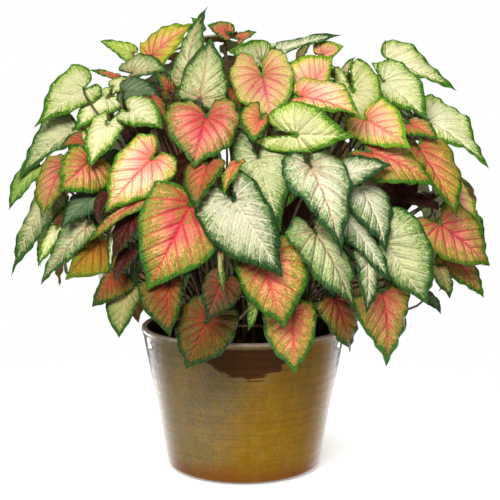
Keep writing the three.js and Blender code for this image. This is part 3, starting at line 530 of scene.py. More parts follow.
def hole_of(points):
    """The middle of a shoot's hole, from the foot of its sheath."""
    foot = points[np.abs(points[:, 2] - SHEATH_FOOT) < NEAR]
    return foot[:, :2].mean(axis=0)


def petiole_of(leaf, pose, points):
    """The curve of a leaf's petiole: the bend whose rings lie nearest to the shoot's corners."""
    controls = petiole_controls(petiole_end(leaf, pose), pose[4], hole_of(points), BENDS)
    miss = np.zeros(len(BENDS))
    for share in (0.5, 0.75):
        centre, ahead = curve_point(controls, share)
        right, _ = ring_axes(ahead)
        corner = centre + right * np.interp(share, (0, 1), STEM_SOLID_RADII)
        gaps = np.linalg.norm(corner[:, None, :] - points[None, :, :], axis=2)
        miss += np.minimum(gaps.min(axis=1), FAR)
    return controls[miss.argmin()]


# ---------------------------------------------------------------- fine blades
THICK = 0.42  # half a fine blade's thickness
RIM_THICK = 0.14  # half its thickness at the margin
RIM_TAPER = 1.6  # how far in from the margin it grows thicker
CELL = 3.9  # about how far apart a fine blade's points are
YOUNG_CELL = 5.0
MARGIN_POINTS, RINGS = (9, 46), (5, 24)  # the fewest and the most on each side of a blade, and across it
RING_LENGTH, RING_CROWDING = 1.35, 0.9
EDGE_POINTS = 12
FULL_SIZE, SIZES = 80, (0.3, 1.1)  # the width at which the relief has its full height, and its least and most
PUFF, PUFF_EDGE, PUFF_GAP = 2.1, 9, 12
CREASE, CREASE_HALF, CREASE_EDGE = -0.9, 3.0, 12
RUFFLE, RUFFLE_TURNS, RUFFLE_DROOP, RIPPLE, RIPPLE_TURNS = 2.2, 5.5, 12, 1.1, 0.6
COLOUR_NAMES = ("body", "core", "vein", "rim", "fleck", "under")
SPOT_STEP = 61.0  # sets the noise of one leaf apart from the next one's

# Main veins as a family of curves: number, where each leaves the midrib as a share of the length, and
# its angle from the tip's direction in degrees. The first ones all leave from the joint.
VEIN_NUMBER = np.array([-1.0, 0, 1, 2, 3, 4, 5, 6, 7, 8, 9, 10])
VEIN_START = np.array([0.0, 0, 0, 0, 0, 0.03, 0.22, 0.4, 0.57, 0.72, 0.86, 1.0])
VEIN_ANGLE = np.radians([179.0, 172, 148, 112, 80, 52, 47, 43, 39, 35, 31, 28])
VEIN_CURL = 0.28
MOST_GAP = 40


def between_knots(a, b, start, end, t):
    return a * (end - t) / (end - start) + b * (t - start) / (end - start)


def spline_outline(outline, samples=60):
    """The outline as a smooth curve from tip to sinus: rows of along, across and place."""
    points = np.array(outline, float)
    chain = np.vstack([2 * points[0] - points[1], points, points[-1] * 0.45])
    gaps = np.linalg.norm(np.diff(chain, axis=0), axis=1) ** 0.5
    knots = np.concatenate([[0], np.cumsum(gaps)])
    rows = []
    last = len(points) - 1
    for k in range(last):
        p, at = chain[k : k + 4], knots[k : k + 4]
        for step in range(samples):
            share = step / samples
            t = at[1] + (at[2] - at[1]) * share
            a = [between_knots(p[i], p[i + 1], at[i], at[i + 1], t) for i in range(3)]
            b = [between_knots(a[i], a[i + 1], at[i], at[i + 2], t) for i in range(2)]
            point = between_knots(*b, at[1], at[2], t)
            rows.append([point[0], max(0, point[1]), (k + share) / last])
    rows.append([*points[-1], 1])
    return np.array(rows)


SMOOTH = spline_outline(OUTLINE)
SMOOTH_DRIP = spline_outline(DRIP_OUTLINE)
SMOOTH_PLAIN = spline_outline(PLAIN_OUTLINE)


def vein_number(x, y, length):
    """Which vein of the family runs through a point of the flat blade, as a number between veins."""
    low = np.full(x.shape, VEIN_NUMBER[0])
    high = np.full(x.shape, VEIN_NUMBER[-1])
    for _ in range(18):
        number = 0.5 * (low + high)
        away = x / length - np.interp(number, VEIN_NUMBER, VEIN_START)
        far = np.hypot(away, np.abs(y) / length)
        heading = np.interp(number, VEIN_NUMBER, VEIN_ANGLE) * (1 - VEIN_CURL * far)
        beyond = heading > np.arctan2(np.abs(y) / length, away)
        low = np.where(beyond, number, low)
        high = np.where(beyond, high, number)
    return 0.5 * (low + high)


def vein_gap(x, y, number, length, nudge=0.5):
    """How far apart the veins are at each point."""
    slope_x = (vein_number(x + nudge, y, length) - number) / nudge
    slope_y = (vein_number(x, y + np.where(y < 0, -nudge, nudge), length) - number) / nudge
    return np.clip(1 / np.maximum(np.hypot(slope_x, slope_y), 1e-4), 0, MOST_GAP)


def margin(pose, smooth, cell):
    """The margin round from one side of the sinus to the other: along, across, place and side."""
    columns = []
    for side in (-1, 1):
        reach, right = blade_flat(pose, smooth[:, 0], smooth[:, 1], np.full(len(smooth), side), 1)
        run = np.concatenate([[0], np.cumsum(np.hypot(np.diff(reach), np.diff(right)))])
        count = int(clamp(run[-1] / cell, *MARGIN_POINTS))
        at = np.linspace(0, run[-1], count + 1)
        half = np.stack([np.interp(at, run, smooth[:, i]) for i in range(3)] + [np.full(len(at), side)], 1)
        columns.append(half[::-1] if side < 0 else half[1:])
    return np.concatenate(columns).T


def edge_distance(flat, n):
    """How far points of the flat blade are from its margin, which the last n of them are, or its sinus."""
    sinus = [np.outer(np.linspace(0, 1, EDGE_POINTS), end) for end in (flat[-n], flat[-1])]
    rim = np.concatenate([flat[-n:], sinus[0][::-1], sinus[1]])
    starts, steps = rim[:-1], np.diff(rim, axis=0)
    reached = ((flat[:, None] - starts) * steps).sum(2) / np.maximum((steps**2).sum(1), 1e-9)
    feet = starts + steps * np.clip(reached, 0, 1)[:, :, None]
    return np.linalg.norm(flat[:, None] - feet, axis=2).min(axis=1)


def blade_faces(n, rings):
    """The faces of a closed blade: its upper side, its underside and the thin wall along its border."""
    column = np.arange(n - 1)
    quads = []
    for ring in range(rings):
        outer = 1 + ring * n + column
        inner = outer - n if ring else np.zeros(n - 1, int)
        quads.append(np.stack([inner, outer, outer + 1, inner + 1 if ring else inner], 1))
    top = np.concatenate(quads)
    m = 1 + rings * n
    left_edge = np.concatenate([[0], 1 + np.arange(rings) * n])
    right_edge = np.concatenate([[0], n + np.arange(rings) * n])
    border = np.concatenate([left_edge[:-1], m - n + np.arange(n), right_edge[::-1][1:]])
    wall = np.stack([border[:-1], border[1:], border[1:] + m, border[:-1] + m], 1)[:, ::-1]
    return np.concatenate([top, top[:, ::-1] + m, wall])


def blade_colours(leaf, seed):
    tint = 1 + 0.09 * math.sin(12.9 * seed)
    warm = np.array([1 + 0.03 * math.sin(7.7 * seed), 1, 1 + 0.04 * math.cos(5.3 * seed)])
    colours = [np.clip(linear(code) * tint * warm, 0, 1) for code in LOOKS[leaf["look"]][:5]]
    return dict(zip(COLOUR_NAMES, [*colours, linear(UNDER[leaf["variety"]])]))


def blade_part(leaf, pose, seed, cell=CELL):
    """One leaf blade as a closed mesh, with what its material needs at each point."""
    _, length, ahead, sideways, face, halves, _ = pose
    smooth = SMOOTH_PLAIN if halves.sum() < SMALL else SMOOTH_DRIP if leaf["drips"] else SMOOTH
    columns = margin(pose, smooth, cell)
    n = columns.shape[1]
    rings = int(clamp(length / (RING_LENGTH * cell), *RINGS))
    shares = (np.arange(1, rings + 1) / rings) ** RING_CROWDING
    share = np.concatenate([[0], np.repeat(shares, n)])
    along, across, place, side = (np.concatenate([[v[0]], np.tile(v, rings)]) for v in columns)
    x, y = blade_flat(pose, along, across, side, share)
    edge = edge_distance(np.stack([x, y], 1), n)
    number = vein_number(x, y, length)
    gap = vein_gap(x, y, number, length)

    size = clamp(halves.sum() / FULL_SIZE, *SIZES)
    puff = PUFF * size * 0.5 * (1 - np.cos(2 * math.pi * number))
    puff = puff * np.clip(edge / PUFF_EDGE, 0, 1) * np.clip(gap / PUFF_GAP, 0, 1)
    crease = CREASE * size * np.exp(-((y / CREASE_HALF) ** 2)) * np.clip(edge / CREASE_EDGE, 0, 1)
    turns = RUFFLE_TURNS + RUFFLE_DROOP * leaf["droop"]
    ruffle = np.sin(2 * math.pi * turns * place + 3.1 * leaf["phase"] + 2.3 * side)
    ruffle = ruffle * np.minimum(1, 7 * place) * share**5 * RUFFLE * size
    ripple = np.sin(2 * math.pi * RIPPLE_TURNS * turns * place + 5.3 * leaf["phase"] + 1.1 * side)
    ripple = ripple * np.minimum(1, 9 * place) * share**4 * RIPPLE * size
    outward = np.outer(x, ahead) + np.outer(y, sideways)
    outward = outward / np.maximum(np.linalg.norm(outward, axis=1, keepdims=True), 1)
    middle = blade_points(leaf, pose, along, across, side, place, share)
    middle = middle + np.outer(puff + crease + ruffle, face) + outward * ripple[:, None]
    thick = np.clip(edge / RIM_TAPER, 0, 1) * (THICK - RIM_THICK) + RIM_THICK
    lift = np.outer(thick, face)

    _, _, _, _, _, rim_width, feather, net_amount, fleck_amount = LOOKS[leaf["look"]]
    fields = {
        "spot": (x, y, SPOT_STEP * seed),
        "place": (edge, np.abs(y), share),
        "veins": (number, gap, x / length),
        "sizes": (rim_width * size**0.5, feather * size**0.5, length),
        "amounts": (net_amount, fleck_amount, 0.0),
    }
    data = {name: np.tile(colour, (2 * len(x), 1)) for name, colour in blade_colours(leaf, seed).items()}
    for name, values in fields.items():
        data[name] = np.tile(np.stack(np.broadcast_arrays(x, *values)[1:], 1), (2, 1))
    data["amounts"][len(x) :, 2] = 1  # the underside
    points = np.concatenate([middle + lift, middle - lift])
    return {"points": points, "faces": blade_faces(n, rings), "data": data, "material": 0}


# ---------------------------------------------------------------- petioles, sheaths and meshes
STEM_RADII, STEM_RINGS, STEM_SIDES, STEM_SPOT = (2.35, 1.5), 19, 8, 2.4
SHEATH_SIDES = 12
SHEATH_RINGS = (
    (SHEATH_FOOT + 4, 3.6),
    (SOIL_TOP - 4, 4.3),
    (SOIL_TOP + 3, 4.2),
    (SHEATH_TOP - 4, 3.7),
    (SHEATH_TOP - 0.5, 2.6),
)


def closed_rings(levels, segments, turned=False):
    """Faces of a closed body of rings, one after the other, whose two middle points come after the rings."""
    k = np.arange(segments)
    after = (k + 1) % segments
    faces = []
    for low in range(0, (levels - 1) * segments, segments):
        high = low + segments
        quad = [low + k, low + after, high + after, high + k]
        faces.append(np.stack([quad[0], *quad[:0:-1]] if turned else quad, 1))
    top, first = (levels - 1) * segments, levels * segments
    for a, b, middle in ((after, k, first), (top + k, top + after, first + 1)):
        pair = [b, a] if turned else [a, b]
        faces.append(np.stack([*pair, np.full(segments, middle), np.full(segments, middle)], 1))
    return np.concatenate(faces)


def tube_part(centres, radii, sides, colour, seed):
    """A closed rod along a line of points."""
    centres = np.asarray(centres, float)
    ahead = np.gradient(centres, axis=0)
    ahead = ahead / np.linalg.norm(ahead, axis=1, keepdims=True)
    right, above = ring_axes(ahead)
    turns = 2 * math.pi * np.arange(sides) / sides
    rings = right[:, None] * np.cos(turns)[:, None] + above[:, None] * np.sin(turns)[:, None]
    points = (centres[:, None] + rings * np.asarray(radii)[:, None, None]).reshape(-1, 3)
    points = np.vstack([points, centres[0], centres[-1]])
    count, n = len(centres), len(points)
    run = np.concatenate([[0], np.cumsum(np.linalg.norm(np.diff(centres, axis=0), axis=1))])
    along = np.concatenate([np.repeat(run, sides), [run[0], run[-1]]])
    around = np.concatenate([np.tile(turns, count), [0, 0]])
    data = {name: np.tile(colour, (n, 1)) for name in COLOUR_NAMES}
    spot = [along, STEM_SPOT * np.cos(around), STEM_SPOT * np.sin(around) + SPOT_STEP * seed]
    data["spot"] = np.stack(spot, 1)
    data |= {name: np.zeros((n, 3)) for name in ("place", "veins", "sizes", "amounts")}
    return {"points": points, "faces": closed_rings(count, sides, True), "data": data, "material": 1}


def stem_part(controls, variety, seed):
    shares = np.linspace(0, 1, STEM_RINGS)
    centres = np.array([curve_point(controls, share)[0] for share in shares])
    radii = STEM_RADII[0] + (STEM_RADII[1] - STEM_RADII[0]) * shares
    colour = linear(STEM[variety]) * (1 + 0.25 * math.sin(9.1 * seed))
    return tube_part(centres, radii, STEM_SIDES, colour, seed)


def sheath_part(hole, variety, seed):
    centres = [(*hole, height) for height, _ in SHEATH_RINGS]
    radii = [radius for _, radius in SHEATH_RINGS]
    return tube_part(centres, radii, SHEATH_SIDES, linear(STEM[variety]) * 0.8, seed)


def make_mesh(name, parts, materials):
    """A mesh object from parts: points in millimetres, four-cornered faces and point data."""
    points = np.concatenate([part["points"] for part in parts]) * MM
    offsets = np.cumsum([0] + [len(part["points"]) for part in parts])
    faces = np.concatenate([part["faces"] + offset for part, offset in zip(parts, offsets)])
    slots = np.concatenate([np.full(len(part["faces"]), part["material"]) for part in parts])
    triangle = (faces[:, 3] == faces[:, 2]) | (faces[:, 3] == faces[:, 0])
    lengths = np.where(triangle, 3, 4)
    used = np.repeat(~triangle, 4) | np.tile([True, True, True, False], len(faces))
    used_corners = faces.ravel()[used]
    mesh = bpy.data.meshes.new(name)
    mesh.vertices.add(len(points))
    mesh.vertices.foreach_set("co", points.ravel())
    mesh.loops.add(len(used_corners))
    mesh.loops.foreach_set("vertex_index", used_corners)
    mesh.polygons.add(len(faces))
    mesh.polygons.foreach_set("loop_start", np.concatenate([[0], np.cumsum(lengths)[:-1]]))
    mesh.polygons.foreach_set("loop_total", lengths)
    mesh.polygons.foreach_set("material_index", slots)
    mesh.polygons.foreach_set("use_smooth", np.ones(len(faces), bool))
    for key in parts[0].get("data", {}):
        values = np.concatenate([part["data"][key] for part in parts])
        attribute = mesh.attributes.new(key, "FLOAT_VECTOR", "POINT")
        attribute.data.foreach_set("vector", values.ravel())
    mesh.update(calc_edges=True)
    mesh.validate()
    for material in materials:
        mesh.materials.append(material)
    made = bpy.data.objects.new(name, mesh)
    bpy.context.scene.collection.objects.link(made)
    return made


# ---------------------------------------------------------------- materials
class Wire:
    """What comes out of a node, so that sums with it are written as sums."""

    def __init__(self, shader, socket):
        self.shader, self.socket = shader, socket

    def __add__(self, other):
        return self.shader.math("ADD", self, other)

    def __sub__(self, other):
        return self.shader.math("SUBTRACT", self, other)

    def __rsub__(self, other):
        return self.shader.math("SUBTRACT", other, self)

    def __mul__(self, other):
        return self.shader.math("MULTIPLY", self, other)

    def __truediv__(self, other):
        return self.shader.math("DIVIDE", self, other)

    def __pow__(self, other):
        return self.shader.math("POWER", self, other)


class Shader:
    """A node material, with short calls for what the materials here use."""

    def __init__(self, name):
        self.material = bpy.data.materials.new(name)
        self.material.use_nodes = True
        self.nodes = self.material.node_tree.nodes
        self.links = self.material.node_tree.links
        self.surface = self.nodes["Principled BSDF"]

    def feed(self, socket, value):
        if isinstance(value, Wire):
            self.links.new(value.socket, socket)
        elif isinstance(value, (int, float)):
            socket.default_value = value
        else:
            socket.default_value = (*value, 1) if len(socket.default_value) == 4 else value

    def node(self, kind, output=0, settings=None, **inputs):
        made = self.nodes.new(kind)
        for key, value in (settings or {}).items():
            setattr(made, key, value)
        for key, value in inputs.items():
            self.feed(made.inputs[key.replace("_", " ")], value)
        return Wire(self, made.outputs[output])

    def feed_all(self, made, output, *values):
        for socket, value in zip(made.inputs, values):
            self.feed(socket, value)
        return Wire(self, made.outputs[output])

    def math(self, operation, *values, clamped=False):
        made = self.nodes.new("ShaderNodeMath")
        made.operation = operation
        made.use_clamp = clamped
        return self.feed_all(made, 0, *values)

    def between(self, value, low, high, start=0.0, end=1.0):
        """Runs smoothly from start to end as value goes from low to high."""
        made = self.nodes.new("ShaderNodeMapRange")
        made.interpolation_type = "SMOOTHSTEP"
        return self.feed_all(made, 0, value, low, high, start, end)

    def fade(self, value, low, high, start=1.0):
        return self.between(value, low, high, start, 0)

    def mix(self, share, a, b, how="MIX"):
        made = self.nodes.new("ShaderNodeMix")
        made.data_type = "RGBA"
        made.blend_type = how
        for socket, value in zip((made.inputs[0], made.inputs[6], made.inputs[7]), (share, a, b)):
            self.feed(socket, value)
        return Wire(self, made.outputs[2])

    def times(self, colour, by):
        return self.mix(1.0, colour, by, "MULTIPLY")

    def attribute(self, name):
        return self.node("ShaderNodeAttribute", 1, {"attribute_name": name})

    def place(self):
        """Where a point is on its object, in metres."""
        return self.node("ShaderNodeTexCoord", 3)

    def split(self, vector):
        made = self.nodes.new("ShaderNodeSeparateXYZ")
        self.feed(made.inputs[0], vector)
        return [Wire(self, output) for output in made.outputs]

    def length(self, x, y):
        return self.math("SQRT", x * x + y * y)

    def noise(self, vector, scale, detail=2.0, roughness=0.5):
        return self.node("ShaderNodeTexNoise", Vector=vector, Scale=scale, Detail=detail, Roughness=roughness)

    def cracks(self, vector, scale, randomness):
        """The distance to the nearest crack between cells."""
        how = {"feature": "DISTANCE_TO_EDGE"}
        return self.node("ShaderNodeTexVoronoi", 0, how, Vector=vector, Scale=scale, Randomness=randomness)

    def set(self, **inputs):
        for key, value in inputs.items():
            self.feed(self.surface.inputs[key.replace("_", " ")], value)

    def bump(self, height, distance, strength):
        self.set(Normal=self.node("ShaderNodeBump", Height=height, Distance=distance, Strength=strength))


# The marks of a leaf. Noise: marks a millimetre, detail and roughness. Cells: how many, how irregular.
BROAD, FINE, GRAIN, STREAK = (0.035, 2.0), (0.16, 4.0, 0.6), (0.5, 3.0, 0.6), (0.35, 3.0)
DASHES, SPECKS = (0.5, 2.0, 0.6), (1.1, 1.0, 0.5)
NET_CELLS, STRIPE_CELLS = (0.3, 0.95), (0.62, 0.9)
FAN_ACROSS, FAN_ALONG, FAN_SIDE = 12, 0.3, 40
HALF = (0.3, 0.7)  # the middle half of what a noise gives
# How far from the middle of a vein its colour starts to fade and is gone, in widths of a vein.
VEIN_HALO, RIB_HALO = (0.4, 3.4), (0.6, 4.4)
VEIN_LINE, RIB_LINE, SMALL_LINE = (0.3, 0.85), (0.55, 1.35), (0.15, 0.6)
NET_LINE, NETTED = (0.0, 0.07), (0.35, 0.42)
FLECK_EDGE, FLECK_TONES = (0.98, 1.16), ((0.62, 0.68, 0.6), (1.45, 1.32, 0.9))
RIM_LINE, RIM_EDGE = (0.6, 1.4), (0.6, 1.8)
JOINT_BLUSH, JOINT_SPOT, JOINT_RED = (3.0, 34.0, 0.3), (1.5, 6.0, 0.75), (0.2, 0.025, 0.03)
STEM_STREAK, STEM_FOOT = (0.16, 0.12, 0.06), (0.09, 0.045, 0.03)


def leaf_material():
    s = Shader("leaf")
    body, core, vein, rim_green, fleck_green, under = (s.attribute(name) for name in COLOUR_NAMES)
    spot = s.attribute("spot")
    ahead, aside, leaf_seed = s.split(spot)
    edge, beside, share = s.split(s.attribute("place"))
    number, gap, along = s.split(s.attribute("veins"))
    rim_width, feather, length = s.split(s.attribute("sizes"))
    net_amount, fleck_amount, below = s.split(s.attribute("amounts"))
    broad, fine, grain = (s.noise(spot, *kind) for kind in (BROAD, FINE, GRAIN))

    # a place that counts across the veins and, more slowly, along them, so that the marks fan out
    from_joint = s.length(ahead, aside)
    fanned = number * FAN_ACROSS + s.math("SIGN", aside) * FAN_SIDE
    fan = s.node("ShaderNodeCombineXYZ", X=fanned, Y=from_joint * FAN_ALONG, Z=leaf_seed)
    dashes, specks = s.noise(fan, *DASHES), s.noise(fan, *SPECKS)
    cells, stripes = s.cracks(spot, *NET_CELLS), s.cracks(fan, *STRIPE_CELLS)

    # the distance to the nearest vein of each order: in millimetres, and in widths of a vein
    to_vein = s.math("PINGPONG", (fine - 0.5) * 0.16 + number, 0.5) * gap
    to_small = s.math("PINGPONG", (grain - 0.5) * 0.4 + number * 3, 0.5) * (gap * 0.33)
    width = s.between(share, 0.0, 1.0, 1.15, 0.3) * s.between(length, 30, 130, 0.5, 1.15)
    from_vein, from_rib, from_small = to_vein / width, beside / width, to_small / width

    # body, lighter or deeper towards the middle, and mottled
    colour = s.mix(s.fade((broad - 0.5) * 0.5 + share, 0.25, 0.85), body, core)
    shade = s.between(broad, *HALF, 0.86, 1.08) * s.between(specks, *HALF, 0.88, 1.12)
    colour = s.times(colour, s.node("ShaderNodeCombineColor", Red=shade, Green=shade, Blue=shade))

    # a green wash near the margin, and flecks that fill the cells of the net between the veins
    halo = s.math("MAXIMUM", s.fade(from_vein, *VEIN_HALO), s.fade(from_rib, *RIB_HALO))
    towards_edge = s.math("SUBTRACT", 1, edge / feather, clamped=True)
    colour = s.mix(towards_edge**2.2 * s.between(fine, *HALF, 0.1, 0.5), colour, fleck_green)
    cover = (fine - 0.5) * 0.5 + (towards_edge**0.9 * fleck_amount - 0.08 - halo * 0.22)
    speckle = s.between(stripes, 0.02, 0.3) * 0.36 + s.between(dashes, *HALF) * 0.44
    speckle = speckle + s.between(specks, *HALF) * 0.32
    tone = s.mix(s.between(grain, 0.32, 0.68), *FLECK_TONES)
    colour = s.mix(s.between(speckle + cover, *FLECK_EDGE) * 0.86, colour, s.times(fleck_green, tone))

    # the veins themselves, the fine net that joins them, and the blush where they meet
    lines = s.math("MAXIMUM", s.fade(from_vein, *VEIN_LINE), s.fade(from_rib, *RIB_LINE))
    colour = s.mix(halo * 0.36, colour, vein)
    colour = s.mix(s.fade(cells, *NET_LINE) * net_amount * 0.55, colour, vein)
    small = s.fade(from_small, *SMALL_LINE, s.between(net_amount, *NETTED, 0.42, 0.55))
    colour = s.mix(small, colour, s.mix(s.between(net_amount, *NETTED), fleck_green, vein))
    colour = s.mix(lines * 0.92, colour, vein)
    colour = s.mix(s.fade(from_joint, *JOINT_BLUSH), colour, vein)
    colour = s.mix(s.fade(from_joint, *JOINT_SPOT), colour, JOINT_RED)

    # margin: a solid green rim with a ragged inner side, darkest at its very edge
    ragged = (fine - 0.5) * 13 + ((grain - 0.5) * 7 + edge)
    rim_width = rim_width * s.between(along, -0.3, 0.9, 0.55, 1.35)
    rim = s.math("MAXIMUM", s.fade(ragged / rim_width, *RIM_LINE), s.fade(edge, *RIM_EDGE))
    colour = s.mix(rim, colour, s.times(rim_green, tone))

    # the paler underside, and the relief of the veins and of the skin
    colour = s.mix(below * 0.6, colour, s.mix(lines * 0.4, under, vein))
    height = s.between(to_vein, 0, 3.2) * s.between(beside, 0, 3.4) + s.between(cells, 0, 0.3) * 0.35
    height = s.between(to_small, 0, 1.6) * 0.4 + height + fine * 1.4
    s.bump(height, 0.0013, 0.85)
    s.set(Base_Color=colour, Roughness=0.42, Specular_IOR_Level=0.26)
    return s.material


def stem_material():
    s = Shader("stem")
    spot = s.attribute("spot")
    along, _, _ = s.split(spot)
    colour = s.mix(s.between(s.noise(spot, *STREAK), 0.35, 0.65), s.attribute("body"), STEM_STREAK)
    colour = s.mix(s.fade(along, 0, 90, 0.5), colour, STEM_FOOT)
    s.set(Base_Color=colour, Roughness=0.5, Specular_IOR_Level=0.15)
    return s.material


GLAZE = {
    # the first two: the glaze's own tones, laid round the pot as painted light, olive away from the light
    "olive": "6C6145",
    "ochre": "785804",
    "rust": "663408",
    "mottle": "8C6C1C",
    "grain": "4E4A1E",
    "lines": "4F3C10",
    "streaks": "7A6A48",
    # the next two are painted reflection: the browns of the dark patches below the lip
    "run": "341A00",
    "reflection_lines": "5A3606",
    # the lip's pale is partly its own glaze and partly a painted highlight; the inside's dark is painted
    # shade
    "lip": "DACBBE",
    "inside": "2E2014",
    "foot": "2A1808",
}
SOIL_DARK, SOIL_LIGHT = "1D120B", "4A3524"
LINE_STRETCH, STREAK_STRETCH = (6.0, 6.0, 420.0), (40.0, 40.0, 9.0)
WALL_FOOT, WALL_SLOPE = 0.1055, 0.184  # the outer wall's radius at the floor in metres, and how it widens

# Painted reflection: dark patches, standing for dark surroundings mirrored in the glaze, run down from the
# lip.
# Each: bearing from the front in degrees, half its width, the height that it reaches down to in millimetres,
# and how far its lower edge rises to its sides.
DARK_REFLECTIONS = (
    (4, 25, 162, 20),
    (-65, 5, 136, 52),
    (-59, 4, 162, 34),
    (69, 5, 130, 56),
    (63, 4, 166, 30),
    (128, 19, 154, 26),
    (-138, 22, 160, 26),
    (-178, 13, 146, 34),
)
REFLECTION_SIDE, REFLECTION_FOOT, REFLECTION_TOP = 1.2, 2, (200.5, 203)


def glaze_material():
    s = Shader("glaze")
    tint = {name: linear(code) for name, code in GLAZE.items()}
    here = s.place()
    x, y, z = s.split(here)
    bearing = s.math("ARCTAN2", x, y * -1) * (180 / math.pi)
    height = z * 1000
    cloud = s.noise(here, 9.0, 4.0, 0.55)
    mottle = s.noise(here, 60.0, 4.0, 0.6)
    grain = s.noise(here, 230.0, 3.0, 0.6)
    lines = s.noise(s.node("ShaderNodeMapping", Vector=here, Scale=LINE_STRETCH), 1.0, 3.0, 0.6)
    streaks = s.noise(s.node("ShaderNodeMapping", Vector=here, Scale=STREAK_STRETCH), 1.0, 3.0, 0.6)

    # painted light over the glaze's own two tones: olive on the side away from the light, ochre on
    # the lit side, mottled, and rusty above the foot
    lit = s.math("SINE", bearing * (math.pi / 180)) * 1.2 + (cloud * 1.1 - 0.38) + (205 - height) * 0.0042
    colour = s.mix(s.between(lit, 0.0, 0.9), tint["olive"], tint["ochre"])
    colour = s.mix(s.between(mottle, 0.4, 0.7, 0, 0.4), colour, tint["mottle"])
    colour = s.mix(s.between(grain, 0.42, 0.66, 0, 0.4), colour, tint["grain"])
    colour = s.mix(s.between(lines, 0.45, 0.7, 0, 0.34), colour, tint["lines"])
    colour = s.mix(s.between(streaks, 0.5, 0.7, 0, 0.35), colour, tint["streaks"])
    colour = s.mix(s.fade((cloud - 0.5) * 30 + height, 4, 42, 0.75), colour, tint["rust"])

    # painted reflection: dark patches below the lip that stand for dark surroundings mirrored in the glaze
    ragged = (cloud - 0.5) * 34 + (mottle - 0.5) * 22 + (lines - 0.5) * 18
    dark = None
    for at, half, reach, rise in DARK_REFLECTIONS:
        off = s.math("ABSOLUTE", s.math("WRAP", bearing - at, -180, 180))
        beside = s.fade(off + ragged * (0.012 * half), half - REFLECTION_SIDE, half + REFLECTION_SIDE)
        share = off / half
        lower = height + ragged + share * share * -rise
        run = beside * s.between(lower, reach - REFLECTION_FOOT, reach + REFLECTION_FOOT)
        dark = run if dark is None else s.math("MAXIMUM", dark, run)
    brown = s.mix(s.between(lines, 0.4, 0.75, 0, 0.4), tint["run"], tint["reflection_lines"])
    colour = s.mix(dark * s.fade(height, *REFLECTION_TOP) * 0.97, colour, brown)

    # the pale lip, partly its own glaze and partly a painted highlight on its rounded edge, the inside
    # darkened as painted shade, and the bare line of the foot
    colour = s.mix(s.between(mottle * 3 + height, 206, 209) * 0.9, colour, tint["lip"])
    wall = s.length(x, y) - (z * WALL_SLOPE + WALL_FOOT)
    colour = s.mix(s.fade(wall, -0.004, -0.001), colour, tint["inside"])
    colour = s.mix(s.fade(height, 1.5, 4.5, 0.85), colour, tint["foot"])
    s.bump(lines + mottle * 0.4, 0.0006, 0.35)
    facing = s.node("ShaderNodeLayerWeight", 1, Blend=0.5)
    s.set(Base_Color=colour, Roughness=s.between(mottle, *HALF, 0.2, 0.34), Specular_IOR_Level=0.04)
    s.set(Coat_Weight=s.between(facing, 0.4, 0.8, 0.04, 1.0), Coat_Roughness=0.05, Coat_IOR=1.6)
    return s.material


def soil_material():
    s = Shader("soil")
    grain = s.noise(s.place(), 160.0, 5.0, 0.7)
    s.bump(grain, 0.003, 0.8)
    colour = s.mix(s.between(grain, 0.35, 0.7), linear(SOIL_DARK), linear(SOIL_LIGHT))
    s.set(Base_Color=colour, Roughness=0.95, Specular_IOR_Level=0.15)
    return s.material


# ---------------------------------------------------------------- pot and soil
RIM_RADIUS, FOOT_RADIUS, BELLY_RADIUS, BELLY_HEIGHT, POT_HEIGHT = 149.1, 102.6, 112.4, 9, 210
POT_WALL, POT_FLOOR = 9, 12
POT_SEGMENTS = 192
FOOT_ROUND = ((105.6, 1.8), (108.6, 3.4), (110.6, 5.4), (111.9, 7.4))  # radius and height
WALL_TOP, WALL_STEP, RING_INSET, LIP_TURN, LIP_POINTS = 202, 3.0, 0.3, (-12, 192), 15
INSIDE_TOP, INSIDE_FOOT, INSIDE_STEP = 199, 20, -8.0
SOIL_SEGMENTS, SOIL_RINGS, SOIL_LEVELS = 120, 40, (60, 120)
CHIPS, CHIP_SEED, CHIP_SIZES = 420, 7, (1.4, 4.2)
CHIP_FACES = np.array([[0, 1, 3, 2], [4, 6, 7, 5], [0, 4, 5, 1], [2, 3, 7, 6], [0, 2, 6, 4], [1, 5, 7, 3]])
CHIP_CORNERS = np.array(list(itertools.product((-1, 1), repeat=3)), float)


def outer_radius(z):
    return BELLY_RADIUS + (RIM_RADIUS - BELLY_RADIUS) * (z - BELLY_HEIGHT) / (POT_HEIGHT - BELLY_HEIGHT)


def throwing_ring(z):
    return 0.09 * math.sin(z * 0.42) + 0.07 * math.sin(z * 1.13 + 1.0)


def pot_profile():
    """The pot from the middle of its foot, up the outside with faint throwing rings, over and down inside."""
    profile = [(0, 0), (FOOT_RADIUS - 1.5, 0), (FOOT_RADIUS, 0.6), *FOOT_ROUND]
    for z in np.arange(BELLY_HEIGHT, WALL_TOP, WALL_STEP):
        profile.append((outer_radius(z) - RING_INSET + throwing_ring(z), z))
    lip = POT_WALL / 2
    for turn in np.radians(np.linspace(*LIP_TURN, LIP_POINTS)):
        profile.append((RIM_RADIUS - lip + lip * math.cos(turn), POT_HEIGHT - lip + lip * math.sin(turn)))
    for z in np.arange(INSIDE_TOP, INSIDE_FOOT, INSIDE_STEP):
        profile.append((outer_radius(z) - POT_WALL, z))
    inner = BELLY_RADIUS - POT_WALL
    return profile + [(inner - 3, POT_FLOOR + 3), (inner - 8, POT_FLOOR), (0, POT_FLOOR)]


